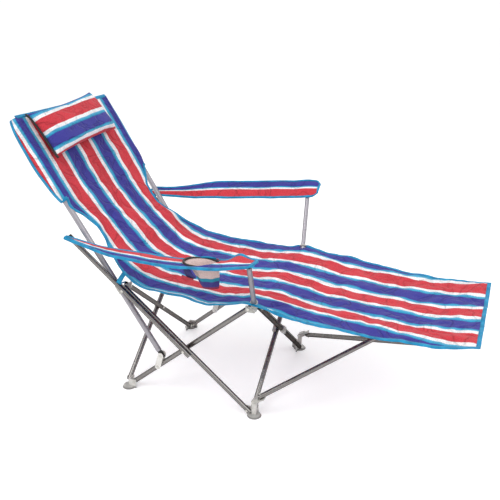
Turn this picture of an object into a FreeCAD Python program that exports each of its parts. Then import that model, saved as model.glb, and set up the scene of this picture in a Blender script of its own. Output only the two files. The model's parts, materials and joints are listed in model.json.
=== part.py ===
import FreeCAD, Part
import math
import os
from FreeCAD import Placement, Rotation, Vector

# Folding camp lounger: four crossed pairs of tubes make an umbrella-fold frame,
# two raked back posts and two crossed footrest struts spread one fabric sling.
# +X points to the footrest, +Y to the sitter's left, +Z up. The origin lies on
# the floor, midway between the four feet.

# Driving sizes, in millimetres and degrees.
SIZES = {
    # scissor frame
    "leg_length": 548.0,
    "open_angle": 40.0,
    "leg_diameter": 16.0,
    "tube_wall": 1.0,
    "end_overhang": 8.0,
    "layer_gap": 0.5,
    # feet and corner hubs
    "foot_diameter": 46.0,
    "foot_top_diameter": 38.0,
    "foot_thickness": 7.0,
    "pin_height": 22.0,
    "hub_reach": 20.0,
    "hub_reach_left": 28.0,
    "ear_margin": 8.0,
    "ear_thickness": 4.0,
    "hub_half_height": 10.0,
    # rivets
    "rivet_diameter": 5.0,
    "rivet_head_diameter": 9.0,
    "rivet_head_height": 1.8,
    "rivet_clearance": 0.08,
    "head_gap": 0.2,
    # back posts and their pivot plates
    "post_diameter": 18.0,
    "post_length": 860.0,
    "post_splay": -2.5,
    "pivot_along": 163.0,
    "pivot_offset": 25.0,
    "plate_foot": 126.0,
    "plate_width": 20.0,
    "plate_thickness": 2.5,
    "plate_gap": 0.8,
    "plug_diameter": 15.0,
    "plug_tail": 9.0,
    "plug_length": 26.0,
    "plug_grip": 14.0,
    # sliders on the back posts
    "slider_length": 30.0,
    "slider_wall": 2.5,
    "slider_clearance": 0.1,
    "slider_pad": 13.2,
    "slider_pad_length": 20.0,
    "slider_pad_width": 10.0,
    "nose_radius": 6.0,
    "nose_offset": 8.0,
    "nose_gap": 0.3,
    "boss_diameter": 14.0,
    # arms; the soft arms of the chair sit a little differently on each side
    "arm_tube_diameter": 16.0,
    "arm_tube_gap": 0.2,
    "arm_tube_tail": 24.0,
    "arm_tube_rise": 240.0,
    "arm_cap_diameter": 19.0,
    "arm_cap_length": 24.0,
    "arm_cap_dome": 6.0,
    "arm_post_diameter": 15.0,
    "arm_post_length": 215.0,
    "arm_post_splay": 110.0,
    "arm_post_rise": 165.0,
    "arm_lean_right": 28.0,
    "arm_lean_left": -22.0,
    "socket_height": 14.0,
    "socket_wall": 3.0,
    "armrest_width": 84.0,
    "armrest_thickness": 5.0,
    "armrest_sag_right": 32.0,
    "armrest_sag_left": 6.0,
    "armrest_roll_right": 4.0,
    "armrest_roll_left": 34.0,
    "armrest_offset_right": 0.0,
    "armrest_offset_left": 26.0,
    "armrest_nose_right": 22.0,
    "armrest_nose_left": 40.0,
    "armrest_nose_width": 44.0,
    "armrest_tail": 6.0,
    "armrest_tail_width": 46.0,
    "armrest_tail_offset": 14.0,
    "armrest_tail_share": 0.15,
    "armrest_full_share": 0.4,
    "armrest_split": 0.55,
    "armrest_lift": 0.5,
    # cup holder in the right armrest
    "cup_place": 0.75,
    "cup_run": 62.0,
    "cup_inset": 18.0,
    "cup_rim_radius": 54.0,
    "cup_rim_wire": 3.5,
    "cup_depth": 68.0,
    "cup_hang": 20.0,
    "cup_bottom_radius": 38.0,
    "cup_wall": 2.0,
    "cup_margin": 9.0,
    # footrest struts and their knuckles
    "knuckle_height": 56.0,
    "knuckle_width": 12.0,
    "knuckle_radius": 7.0,
    "knuckle_clearance": 0.3,
    "knuckle_pin_diameter": 5.0,
    "cheek_thickness": 4.0,
    "yoke_block_start": 8.5,
    "yoke_block_end": 19.0,
    "yoke_pin": 30.0,
    "yoke_tip": 38.0,
    "strut_diameter": 16.0,
    "strut_length": 739.0,
    "strut_overhang": 7.0,
    "strut_rise": 27.0,
    "strut_tip_inset": 60.0,
    # front crossing clamps
    "clamp_length": 30.0,
    "clamp_width": 22.0,
    "clamp_crown": 3.5,
    # sling: how far it stands off the frame, and its half width at each break
    "cloth_thickness": 2.0,
    "panel_gap": 0.3,
    "head_overhang": 8.0,
    "sleeve_margin": 19.0,
    "sleeve_length": 285.0,
    "back_stand_off": 1.0,
    "waist_back": -115.0,
    "waist_up": 181.0,
    "waist_half": 186.0,
    "loin_back": -40.0,
    "loin_up": 106.0,
    "loin_half": 219.0,
    "hip_ahead": 50.0,
    "hip_up": 46.0,
    "hip_half": 266.0,
    "seat_rear_ahead": 130.0,
    "seat_rear_up": 24.0,
    "seat_half": 270.0,
    "seat_up": 21.0,
    "seat_crease": 42.5,
    "thigh_behind": -125.0,
    "thigh_up": 13.0,
    "thigh_half": 280.0,
    "front_up": 29.0,
    "front_half": 247.0,
    "shin_ahead": 170.0,
    "shin_up": 7.0,
    "shin_half": 266.0,
    "calf_behind": -230.0,
    "calf_up": -2.0,
    "calf_half": 250.0,
    "ankle_behind": -90.0,
    "ankle_up": -4.0,
    "ankle_half": 239.0,
    "tip_half": 237.0,
    "toe_overhang": 76.0,
    "toe_up": 7.0,
    "toe_half": 232.0,
    "head_sag": 4.0,
    "back_sag": 10.0,
    "waist_crown": 6.0,
    "seat_sag": 5.0,
    "footrest_sag": 14.0,
    "calf_sag": 10.0,
    "toe_sag": 5.0,
    "arm_hole_radius": 15.0,
    # pillow
    "pillow_length": 375.0,
    "pillow_depth": 165.0,
    "pillow_crown": 52.0,
    "pillow_hem": 9.0,
    "pillow_waist": 9.0,
    "pillow_taper": 0.95,
    "pillow_drop": -8.0,
    "pillow_tilt": 4.0,
    "pillow_shift": -22.0,
    "pillow_gap": 0.5,
}

FRONT, REAR = 1, -1
LEFT, RIGHT = 1, -1
SIDE_NAME = {LEFT: "left", RIGHT: "right"}
AXIS_X = Vector(1, 0, 0)
AXIS_Y = Vector(0, 1, 0)
AXIS_Z = Vector(0, 0, 1)

doc = FreeCAD.newDocument("folding_camp_lounger")
sheet = doc.addObject("Spreadsheet::Sheet", "Sizes")
for row, (alias, number) in enumerate(SIZES.items(), start=1):
    sheet.set(f"A{row}", alias)
    sheet.set(f"B{row}", str(number))
    sheet.setAlias(f"B{row}", alias)
doc.recompute()

nodes = []


def size(name):
    """Value of one sheet cell."""
    return float(sheet.get(name))


def total(*names):
    """Sum of sheet cells; a leading minus subtracts."""
    return sum(-size(n[1:]) if n.startswith("-") else size(n) for n in names)


def formula(*names):
    """The same sum as an expression for a property."""
    terms = [f"- Sizes.{n[1:]}" if n.startswith("-") else f"+ Sizes.{n}" for n in names]
    return " ".join(terms).lstrip("+ ")


# Places worked out from the driving sizes.
rise = math.radians(size("open_angle"))
leg_radius = size("leg_diameter") / 2
layer = leg_radius + size("layer_gap")
pin_span = size("leg_length") * math.cos(rise) / 2
half_length = pin_span + size("hub_reach")
half_width = pin_span + total("hub_reach", "hub_reach_left") / 2
top_height = size("pin_height") + size("leg_length") * math.sin(rise)


def end_reach(side):
    """Cell with the distance from a corner's middle to the pin of its front or rear leg.

    It is longer on the left, where both legs of a corner lie towards the seat.
    """
    return "hub_reach_left" if side == LEFT else "hub_reach"


def add(kind, label, placement=None, **formulas):
    """One document object with its sizes bound to the sheet."""
    item = doc.addObject(kind, label)
    for name, text in formulas.items():
        item.setExpression(name, text)
    if placement is not None:
        item.Placement = placement
    return item


def keep(item, label):
    """Mark an object as a finished piece of the chair."""
    item.Label = label
    nodes.append(item)
    return item


def feature(label, shape):
    """A piece whose form neither primitives nor features give."""
    item = doc.addObject("Part::Feature", label)
    item.Shape = shape
    return item


def fuse(label, items):
    joined = doc.addObject("Part::MultiFuse", label)
    joined.Shapes = items
    return joined


def cut(label, base, tools):
    """Base without the tools."""
    remainder = doc.addObject("Part::Cut", label)
    remainder.Base = base
    remainder.Tool = tools[0] if len(tools) == 1 else fuse(f"{label}_tools", tools)
    return remainder


def group(label, items):
    """Several separate like solids that share one node."""
    bundle = doc.addObject("Part::Compound", label)
    bundle.Links = items
    return bundle


def frame(origin, along, across=None):
    """Placement whose Z runs along a direction and whose Y lies near another."""
    if across is None:
        return Placement(origin, Rotation(AXIS_Z, along))
    return Placement(origin, Rotation(Vector(), across, along, "ZYX"))


def rod(label, origin, along, diameter, length, extra=()):
    """Round bar; extra names widen its radius."""
    radius = f"Sizes.{diameter} / 2"
    if extra:
        radius = f"{radius} + {formula(*extra)}"
    return add("Part::Cylinder", label, frame(origin, along), Radius=radius, Height=length)


def slab(label, corner, spans, heading=(1, 1, 1)):
    """Box from a corner; each span is a tuple of cell names, each heading a sign."""
    low = Vector(*[c if way > 0 else c - total(*names)
                   for c, names, way in zip(corner, spans, heading)])
    return add("Part::Box", label, Placement(low, Rotation()), Length=formula(*spans[0]),
               Width=formula(*spans[1]), Height=formula(*spans[2]))


def pin_hole(label, centre, axis, reach, diameter="rivet_diameter"):
    """Cutter for a rivet, reach each way from its centre."""
    hole = add("Part::Cylinder", label, frame(centre - axis * reach, axis),
               Radius=f"Sizes.{diameter} / 2 + Sizes.rivet_clearance")
    hole.Height = 2 * reach
    return hole


def rivet(label, centre, axis, back, ahead, diameter="rivet_diameter"):
    """Rivet from back to ahead of its centre, with a head beyond each end."""
    head = "Sizes.rivet_head_diameter / 2"
    shank = add("Part::Cylinder", f"{label}_shank", frame(centre - axis * back, axis),
                Radius=f"Sizes.{diameter} / 2")
    shank.Height = back + ahead
    near = add("Part::Cylinder", f"{label}_near", frame(centre - axis * back, axis * -1),
               Radius=head, Height="Sizes.rivet_head_height")
    far = add("Part::Cylinder", f"{label}_far", frame(centre + axis * ahead, axis),
              Radius=head, Height="Sizes.rivet_head_height")
    return fuse(label, [shank, near, far])


def tube(label, start, along, across, diameter, length, pins):
    """Straight tube with rivet holes across it at the given distances from its start."""
    outer = rod(f"{label}_skin", start, along, diameter, length)
    bore = rod(f"{label}_bore", start, along, diameter, length, ["-tube_wall"])
    holes = [pin_hole(f"{label}_hole_{i}", start + along * at, across, size(diameter))
             for i, at in enumerate(pins)]
    return cut(label, outer, [bore] + holes)


# Crossed legs. Each runs from a low pin at a foot to a high pin at a hub.
def leg(label, low, high, across, extra_pins=()):
    along = (high - low).normalize()
    overhang = size("end_overhang")
    pins = [overhang, overhang + size("leg_length") / 2, overhang + size("leg_length")]
    pins += [overhang + at for at in extra_pins]
    piece = tube(label, low - along * overhang, along, across, "leg_diameter",
                 formula("leg_length", "end_overhang", "end_overhang"), pins)
    return keep(piece, label)


def side_pins(side, inner):
    """Low, middle and high pin of a side leg; the inner leg starts at the rear foot."""
    way = FRONT if inner else REAR
    y = side * (half_width - layer if inner else half_width + layer)
    low = Vector(-way * pin_span, y, size("pin_height"))
    high = Vector(way * pin_span, y, top_height)
    return low, (low + high) / 2, high


def end_pins(end, ahead, start_side):
    """Low, middle and high pin of a front or rear leg; ahead is its layer's sign."""
    x = end * half_length + ahead * layer
    low_y = start_side * (half_width - size(end_reach(start_side)))
    high_y = -start_side * (half_width - size(end_reach(-start_side)))
    low = Vector(x, low_y, size("pin_height"))
    high = Vector(x, high_y, top_height)
    return low, (low + high) / 2, high


END_LEGS = {
    "front_inner_leg": (FRONT, -1, RIGHT),
    "front_outer_leg": (FRONT, 1, LEFT),
    "rear_outer_leg": (REAR, -1, RIGHT),
    "rear_inner_leg": (REAR, 1, LEFT),
}

ear_depth = layer + size("ear_thickness") + size("head_gap")
arm_stack = leg_radius + total("arm_tube_gap", "arm_tube_diameter")
far_ear_depth = leg_radius + total("layer_gap", "ear_thickness", "head_gap")
long_ear_depth = layer + total("nose_offset", "ear_thickness", "head_gap")
clamp_depth = leg_radius + size("clamp_crown")


def side_legs(side):
    """Inner and outer leg of one side with their rivets."""
    name = SIDE_NAME[side]
    outward = AXIS_Y * side
    low, middle, high = side_pins(side, inner=True)
    leg(f"{name}_inner_leg", low, high, AXIS_Y, [size("plate_foot")])
    pivot, foot_pin, plate_reach = plate_pins(side)
    inner_rivets = [
        rivet(f"{name}_inner_low", low, outward, leg_radius, ear_depth),
        rivet(f"{name}_inner_high", high, outward, leg_radius, ear_depth),
        rivet(f"{name}_plate_low", foot_pin, outward, plate_reach, plate_reach),
        rivet(f"{name}_plate_high", pivot, outward, plate_reach, plate_reach),
    ]
    keep(group(f"{name}_inner_leg_rivets", inner_rivets), f"{name}_inner_leg_rivets")

    low, middle, high = side_pins(side, inner=False)
    leg(f"{name}_outer_leg", low, high, AXIS_Y)
    through_inner = layer + layer + leg_radius + size("head_gap")
    outer_rivets = [
        rivet(f"{name}_outer_low", low, outward, ear_depth, leg_radius),
        rivet(f"{name}_outer_middle", middle, outward, through_inner, arm_stack),
        rivet(f"{name}_outer_high", high, outward, ear_depth, arm_stack),
    ]
    keep(group(f"{name}_outer_leg_rivets", outer_rivets), f"{name}_outer_leg_rivets")


def end_legs():
    """Front and rear crossed pairs with their rivets."""
    for label, (end, ahead, start_side) in END_LEGS.items():
        low, middle, high = end_pins(end, ahead, start_side)
        leg(label, low, high, AXIS_X)
        towards_hub = AXIS_X * -ahead
        rivets = [rivet(f"{label}_low", low, towards_hub, leg_radius, ear_depth)]
        if end == FRONT:
            rivets.append(rivet(f"{label}_high", high, towards_hub, leg_radius, ear_depth))
        elif ahead > 0:
            rivets.append(rivet(f"{label}_high", high, AXIS_X, leg_radius, far_ear_depth))
        else:
            rivets.append(rivet(f"{label}_high", high, AXIS_X, leg_radius, long_ear_depth))
        if label == "front_outer_leg":
            through = layer + layer + clamp_depth + size("head_gap")
            rivets.append(rivet(f"{label}_middle", middle, towards_hub, clamp_depth, through))
        if label == "rear_outer_leg":
            through = layer + layer + leg_radius + size("head_gap")
            rivets.append(rivet(f"{label}_middle", middle, towards_hub, leg_radius, through))
        keep(group(f"{label}_rivets", rivets), f"{label}_rivets")


def crossing_clamps():
    """Saddles on the outer faces of the front crossing."""
    for label in ("front_inner_leg", "front_outer_leg"):
        end, ahead, start_side = END_LEGS[label]
        low, middle, high = end_pins(end, ahead, start_side)
        along = (high - low).normalize()
        across = AXIS_X.cross(along)
        block = add("Part::Box", f"{label}_saddle", Length=formula("clamp_width"),
                    Width=f"Sizes.leg_diameter / 2 + {formula('clamp_crown')}",
                    Height=formula("clamp_length"))
        corner = middle - along * (size("clamp_length") / 2) - across * (
            size("clamp_width") / 2 * ahead)
        block.Placement = frame(corner, along, AXIS_X * ahead)
        seat = rod(f"{label}_saddle_seat", low, along, "leg_diameter", formula("leg_length"))
        hole = pin_hole(f"{label}_saddle_hole", middle, AXIS_X, size("clamp_width"))
        clamp = f"front_{'inner' if ahead < 0 else 'outer'}_clamp"
        keep(cut(clamp, block, [seat, hole]), clamp)


# Back posts, their pivot plates and sliders.
def plate_pins(side):
    """Post pivot, plate foot on the inner leg, and half the plate stack."""
    low, middle, high = side_pins(side, inner=True)
    along = (high - low).normalize()
    above = Vector(-along.z, 0, along.x)
    foot_pin = low + along * size("plate_foot")
    pivot = low + along * size("pivot_along") + above * size("pivot_offset")
    return pivot, foot_pin, leg_radius + total("plate_gap", "plate_thickness")


def post_line(side):
    """Post pivot, its direction, and the distance to its slider.

    Seen from the side, the post passes the hub's round nose at a fixed distance.
    """
    pivot = plate_pins(side)[0]
    nose = Vector(size("nose_offset") - half_length, 0, top_height)
    reach = total("slider_pad", "nose_radius", "nose_gap")
    towards = Vector(nose.x - pivot.x, 0, nose.z - pivot.z)
    lean = math.atan2(-towards.x, towards.z) + math.asin(reach / towards.Length)
    run = math.sqrt(towards.Length ** 2 - reach ** 2)
    out = size("post_splay") + layer
    direction = Vector(-math.sin(lean) * run, side * out, math.cos(lean) * run)
    return pivot, direction.normalize(), math.hypot(run, out)


def back_post(side):
    """Raked tube, its end plug, pivot plates and slider."""
    name = SIDE_NAME[side]
    pivot, along, slider_at = post_line(side)
    plug_end = pivot + along * (size("plug_length") - size("plug_tail"))
    post = tube(f"{name}_back_post", plug_end, along, AXIS_Y, "post_diameter",
                formula("post_length"), [])
    keep(post, f"{name}_back_post")

    tail = pivot - along * size("plug_tail")
    plug = rod(f"{name}_plug_body", tail, along, "plug_diameter",
               formula("plug_length", "plug_grip"))
    hole = pin_hole(f"{name}_plug_hole", pivot, AXIS_Y, size("plug_diameter"))
    keep(cut(f"{name}_post_plug", plug, [hole]), f"{name}_post_plug")

    keep(pivot_plates(side), f"{name}_pivot_plates")
    keep(slider(side, pivot + along * slider_at, along), f"{name}_back_slider")


def pivot_plates(side):
    """Pair of oval plates that carry the post's pivot on the inner leg."""
    name = SIDE_NAME[side]
    pivot, foot_pin, reach = plate_pins(side)
    span = pivot - foot_pin
    plates = []
    for face in (1, -1):
        tag = f"{name}_plate_{'outer' if face == side else 'inner'}"
        offset = AXIS_Y * (face * (reach - size("plate_thickness")))
        ends = [add("Part::Cylinder", f"{tag}_end_{i}", frame(at + offset, AXIS_Y * face),
                    Radius="Sizes.plate_width / 2", Height="Sizes.plate_thickness")
                for i, at in enumerate((foot_pin, pivot))]
        web = add("Part::Box", f"{tag}_web", Length="Sizes.plate_width",
                  Width="Sizes.plate_thickness")
        web.Height = span.Length
        sideways = AXIS_Y.cross(span).normalize() * (size("plate_width") / 2 * face)
        web.Placement = frame(foot_pin + offset - sideways, span, AXIS_Y * face)
        holes = [pin_hole(f"{tag}_hole_{i}", at, AXIS_Y, 2 * reach)
                 for i, at in enumerate((foot_pin, pivot))]
        plates.append(cut(tag, fuse(f"{tag}_blank", ends + [web]), holes))
    return group(f"{name}_pivot_plates", plates)


def slider(side, centre, along):
    """Sleeve that runs on the post, with a pad that bears on the hub's nose."""
    name = SIDE_NAME[side]
    low = centre - along * (size("slider_length") / 2)
    sleeve = rod(f"{name}_sleeve", low, along, "post_diameter", formula("slider_length"),
                 ["slider_clearance", "slider_wall"])
    pad = add("Part::Box", f"{name}_pad", Length="Sizes.slider_pad_width",
              Width="Sizes.slider_pad", Height="Sizes.slider_pad_length")
    level = Vector(along.x, 0, along.z).normalize()
    ahead = AXIS_Y.cross(level)
    corner = centre - level * (size("slider_pad_length") / 2)
    corner = corner + AXIS_Y * (size("slider_pad_width") / 2)
    pad.Placement = frame(corner, level, ahead)
    bore = rod(f"{name}_sleeve_bore", low - along * size("slider_length"), along,
               "post_diameter", "3 * Sizes.slider_length", ["slider_clearance"])
    return cut(f"{name}_back_slider", fuse(f"{name}_slider_body", [sleeve, pad]), [bore])


# Feet and hubs at the eight corners of the frame.
def corner_point(end, side, height=0.0):
    return Vector(end * half_length, side * half_width, height)


def ears(label, end, side, out, ahead, floor, spans):
    """Two flat ears: one beside the side leg, one beside the front or rear leg.

    out is the sign, away from the middle, of the side leg's layer, and ahead the
    sign along X of the other leg's layer. Each ear lies on the other face.
    """
    centre = corner_point(end, side, floor)
    side_run = ("hub_reach", "ear_margin")
    end_run = (end_reach(side), "ear_margin")
    thick = ("ear_thickness",)
    side_ear = slab(f"{label}_side_ear", centre, (side_run, thick, spans), (-end, -out * side, 1))
    end_ear = slab(f"{label}_end_ear", centre, (thick, end_run, spans), (-ahead, -side, 1))
    core = slab(f"{label}_core", centre, (thick, thick, spans), (-ahead, -out * side, 1))
    return [side_ear, end_ear, core]


def leg_holes(label, end, side, out, ahead, height):
    """Rivet holes of a corner, at the places where its two legs are pinned."""
    centre = corner_point(end, side, height)
    side_pin = centre + Vector(-end * size("hub_reach"), out * side * layer, 0)
    end_pin = centre + Vector(ahead * layer, -side * size(end_reach(side)), 0)
    depth = layer + leg_radius + total("nose_offset", "ear_thickness", "ear_thickness")
    return [pin_hole(f"{label}_side_hole", side_pin, AXIS_Y, depth),
            pin_hole(f"{label}_end_hole", end_pin, AXIS_X, depth)]


def foot(end, side, out, ahead):
    """Round foot with two ears; a front foot also carries the strut's knuckle."""
    label = f"{'front' if end == FRONT else 'rear'}_{SIDE_NAME[side]}_foot"
    centre = corner_point(end, side)
    pad = add("Part::Cone", f"{label}_pad", Placement(centre, Rotation()),
              Radius1="Sizes.foot_diameter / 2", Radius2="Sizes.foot_top_diameter / 2",
              Height="Sizes.foot_thickness")
    pieces = [pad] + ears(label, end, side, out, ahead, 0.0, ("pin_height", "ear_margin"))
    holes = leg_holes(label, end, side, out, ahead, size("pin_height"))
    if end == FRONT:
        half = size("knuckle_width") / 2
        column = slab(f"{label}_column", centre - Vector(size("knuckle_radius"), half, 0),
                      (("knuckle_radius", "knuckle_radius"), ("knuckle_width",),
                       ("knuckle_height",)))
        pivot = knuckle_pivot(side)
        crown = add("Part::Cylinder", f"{label}_crown", frame(pivot - AXIS_Y * half, AXIS_Y),
                    Radius="Sizes.knuckle_radius", Height="Sizes.knuckle_width")
        pieces += [column, crown]
        holes.append(pin_hole(f"{label}_knuckle_hole", pivot, AXIS_Y, half + half,
                              "knuckle_pin_diameter"))
    keep(cut(label, fuse(f"{label}_body", pieces), holes), label)


def front_hub(side):
    """Hub at the seat's front corner, with the socket of the arm post."""
    ahead = 1 if side == RIGHT else -1
    label = f"front_{SIDE_NAME[side]}_hub"
    floor = top_height - size("hub_half_height")
    pieces = ears(label, FRONT, side, -1, ahead, floor, ("hub_half_height", "hub_half_height"))
    base, along = arm_post_line(side)
    foot_point = corner_point(FRONT, side, top_height)
    neck = rod(f"{label}_neck", foot_point, along, "leg_diameter",
               formula("end_overhang", "ear_thickness", "socket_wall"))
    socket = rod(f"{label}_socket", base - along * size("socket_wall"), along,
                 "arm_post_diameter", formula("socket_height", "socket_wall"), ["socket_wall"])
    bore = rod(f"{label}_socket_bore", base, along, "arm_post_diameter",
               formula("arm_post_length"), ["slider_clearance"])
    room = legs_room(label, FRONT, side, -1, ahead)
    body = fuse(f"{label}_body", pieces + [cut(f"{label}_top", neck, room), socket])
    holes = leg_holes(label, FRONT, side, -1, ahead, top_height)
    keep(cut(label, body, holes + [bore]), label)


def legs_room(label, end, side, out, ahead):
    """Clearance blocks around the two leg ends at a top corner."""
    centre = corner_point(end, side, top_height - size("hub_half_height"))
    deep = ("leg_diameter", "leg_diameter")
    tall = ("hub_half_height", "hub_half_height", "socket_wall")
    beside = slab(f"{label}_side_room", centre, (deep, deep, tall), (-end, out * side, 1))
    before = slab(f"{label}_end_room", centre, (deep, deep, tall), (ahead, -side, 1))
    return [beside, before]


def rear_hub(side):
    """Hub at the seat's rear corner, with the nose that the slider bears on."""
    label = f"rear_{SIDE_NAME[side]}_hub"
    ahead = 1 if side == RIGHT else -1
    centre = corner_point(REAR, side, top_height)
    floor = centre - AXIS_Z * size("hub_half_height")
    spans = ("hub_half_height", "hub_half_height")
    thick = ("ear_thickness",)
    side_ear = slab(f"{label}_side_ear", floor + AXIS_X * size("nose_offset"),
                    (("hub_reach", "ear_margin", "-nose_offset"), thick, spans), (1, -side, 1))
    nose_at = centre + AXIS_X * size("nose_offset")
    nose = add("Part::Cylinder", f"{label}_nose", frame(nose_at, AXIS_Y * -side),
               Radius="Sizes.nose_radius", Height="Sizes.ear_thickness")
    pieces = [side_ear, nose]
    holes = leg_holes(label, REAR, side, 1, ahead, top_height)
    reach = (end_reach(side), "ear_margin")
    if ahead > 0:
        ear_x = layer + leg_radius + size("layer_gap")
        head_at = centre + Vector(size("hub_reach"), -side * size("ear_thickness"), 0)
        holes.append(add("Part::Cylinder", f"{label}_head_room", frame(head_at, AXIS_Y * -side),
                         Radius="Sizes.rivet_head_diameter / 2 + Sizes.layer_gap",
                         Height=formula("ear_margin")))
    else:
        ear_x = size("nose_offset")
        boss_at = centre + Vector(0, -side * size(end_reach(side)), 0)
        pieces.append(add("Part::Cylinder", f"{label}_boss", frame(boss_at, AXIS_X),
                          Radius="Sizes.boss_diameter / 2", Height="Sizes.nose_offset"))
    pieces.append(slab(f"{label}_end_ear", floor + AXIS_X * ear_x, (thick, reach, spans),
                       (1, -side, 1)))
    keep(cut(label, fuse(f"{label}_body", pieces), holes), label)


# Arms.
def arm_post_line(side):
    """Base and direction of the arm post."""
    lift = size("end_overhang") + size("ear_thickness")
    base = corner_point(FRONT, side, top_height + lift)
    lean = size(f"arm_lean_{SIDE_NAME[side]}")
    along = Vector(lean, side * size("arm_post_splay"), size("arm_post_rise"))
    return base, along.normalize()


def arm_post_top(side):
    base, along = arm_post_line(side)
    return base + along * size("arm_post_length")


def arm_tube_line(side):
    """Start, direction and end of the arm's rear tube, which lies outside the outer leg."""
    low, middle, high = side_pins(side, inner=False)
    along = (high - low).normalize()
    out = leg_radius + size("arm_tube_gap") + size("arm_tube_diameter") / 2
    shift = AXIS_Y * (side * out)
    start = middle + shift - along * size("arm_tube_tail")
    return start, along, high + shift + along * size("arm_tube_rise")


def arm_tube(side):
    """Tube riveted along the outer leg, rising to the armrest's rear end, and its cap."""
    name = SIDE_NAME[side]
    start, along, end = arm_tube_line(side)
    half_leg = size("leg_length") / 2
    pins = [size("arm_tube_tail"), size("arm_tube_tail") + half_leg]
    length = f"Sizes.leg_length / 2 + {formula('arm_tube_tail', 'arm_tube_rise')}"
    keep(tube(f"{name}_arm_tube", start, along, AXIS_Y, "arm_tube_diameter", length, pins),
         f"{name}_arm_tube")

    cap_root = end - along * (size("arm_cap_length") - size("arm_cap_dome"))
    cap = rod(f"{name}_cap_body", cap_root, along, "arm_cap_diameter", formula("arm_cap_length"))
    seat = rod(f"{name}_cap_seat", cap_root, along, "arm_tube_diameter",
               formula("arm_cap_length", "-arm_cap_dome"))
    keep(cut(f"{name}_arm_cap", cap, [seat]), f"{name}_arm_cap")


def arm_post(side):
    """Tube from the front hub to the armrest's front end."""
    base, along = arm_post_line(side)
    label = f"{SIDE_NAME[side]}_arm_post"
    keep(tube(label, base, along, AXIS_X, "arm_post_diameter", formula("arm_post_length"), []),
         label)


def armrest_axes(side):
    """Directions across the armrest, outward, and off its upper face."""
    roll = math.radians(size(f"armrest_roll_{SIDE_NAME[side]}"))
    across = Vector(0, side * math.cos(roll), math.sin(roll))
    upward = Vector(0, -side * math.sin(roll), math.cos(roll))
    return across, upward


def armrest_point(side, share):
    """Point of the armrest's lower middle line: 0 at the rear tube, 1 at the arm post."""
    across, upward = armrest_axes(side)
    rear = arm_tube_line(side)[2]
    along = arm_post_line(side)[1]
    edge = size("arm_post_diameter") / 2 * math.sqrt(1 - along.dot(upward) ** 2)
    front = arm_post_top(side) + upward * (edge + size("armrest_lift"))
    sag = 4 * share * (1 - share) * size(f"armrest_sag_{SIDE_NAME[side]}")
    grown = armrest_growth(share)
    offset = size("armrest_tail_offset") * (1 - grown)
    offset += size(f"armrest_offset_{SIDE_NAME[side]}") * grown
    return rear + (front - rear) * share - upward * sag + across * offset


def armrest_growth(share):
    """0 along the narrow tail that passes outside the back post, 1 at full width."""
    tail, full = size("armrest_tail_share"), size("armrest_full_share")
    return min(1.0, max(0.0, (share - tail) / (full - tail)))


def armrest_wide(share):
    grown = armrest_growth(share)
    return size("armrest_tail_width") * (1 - grown) + size("armrest_width") * grown


def armrest_section(side, centre, width):
    """Upright band across the armrest, slightly crowned."""
    across, upward = armrest_axes(side)
    thick = upward * size("armrest_thickness")
    inner = centre - across * (width / 2)
    outer = centre + across * (width / 2)
    crown = centre + thick * 2
    edges = [Part.LineSegment(inner, outer).toShape(),
             Part.LineSegment(outer, outer + thick).toShape(),
             Part.Arc(outer + thick, crown, inner + thick).toShape(),
             Part.LineSegment(inner + thick, inner).toShape()]
    return Part.Wire(edges)


def armrest(side):
    """Sagging fabric arm in two halves, parted where the chair folds it."""
    name = SIDE_NAME[side]
    width = size("armrest_width")
    split = size("armrest_split")
    gap = Vector(size("panel_gap") / 2, 0, 0)
    tail = armrest_point(side, 0.0) - Vector(size("armrest_tail"), 0, 0)
    middle = armrest_point(side, split)
    front = armrest_point(side, 1.0)
    nose = front + Vector(size(f"armrest_nose_{name}"), 0, 0)
    rear_half = [(tail, armrest_wide(0.0))]
    for share in (size("armrest_tail_share"), size("armrest_full_share")):
        rear_half.append((armrest_point(side, share), armrest_wide(share)))
    rear_half.append((middle - gap, width))
    front_half = [(middle + gap, width), (armrest_point(side, (split + 1) / 2), width)]
    if side == RIGHT:
        front_half[1:] = cup_stations()
    front_half.append((front, width))
    tip = loft([armrest_section(side, front, width),
                armrest_section(side, nose, size("armrest_nose_width"))])
    rear_shape = loft([armrest_section(side, *station) for station in rear_half])
    front_shape = loft([armrest_section(side, *station) for station in front_half]).fuse(tip)
    if side == RIGHT:
        front_shape = front_shape.cut(cup_room())
    keep(feature(f"{name}_armrest_rear", rear_shape.cut(cap_room(side))),
         f"{name}_armrest_rear")
    keep(feature(f"{name}_armrest_front", front_shape), f"{name}_armrest_front")


def loft(sections):
    return Part.makeLoft(sections, True, False)


def cup_stations():
    """Armrest sections that widen round the cup's rim."""
    width = size("armrest_width")
    ring = total("cup_rim_radius", "cup_rim_wire", "cup_margin")
    place = armrest_point(RIGHT, size("cup_place"))
    inset = AXIS_Y * size("cup_inset")
    front = armrest_point(RIGHT, 1.0)
    rear = armrest_point(RIGHT, size("armrest_split"))
    run = size("cup_run")
    behind = place + (rear - place) * (run / (rear - place).Length)
    ahead = place + (front - place) * (run / (front - place).Length)
    return [(behind, width), (place + inset, 2 * ring), (ahead, width)]


def cap_room(side):
    """Room in the armrest for the rear tube and its cap."""
    along, end = arm_tube_line(side)[1:]
    length = 2 * size("arm_cap_length")
    return Part.makeCylinder(size("arm_cap_diameter") / 2 + size("armrest_lift"), 2 * length,
                             end - along * length, along)


def cup_room():
    """Room in the armrest for the cup's rim."""
    centre = cup_centre()
    radius = total("cup_rim_radius", "cup_rim_wire", "armrest_lift")
    height = 2 * size("cup_depth")
    return Part.makeCylinder(radius, 2 * height, centre - AXIS_Z * height)


def cup_centre():
    """Middle of the cup's rim, in the right armrest."""
    place = armrest_point(RIGHT, size("cup_place"))
    return place + Vector(0, size("cup_inset"), size("cup_rim_wire"))


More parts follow.
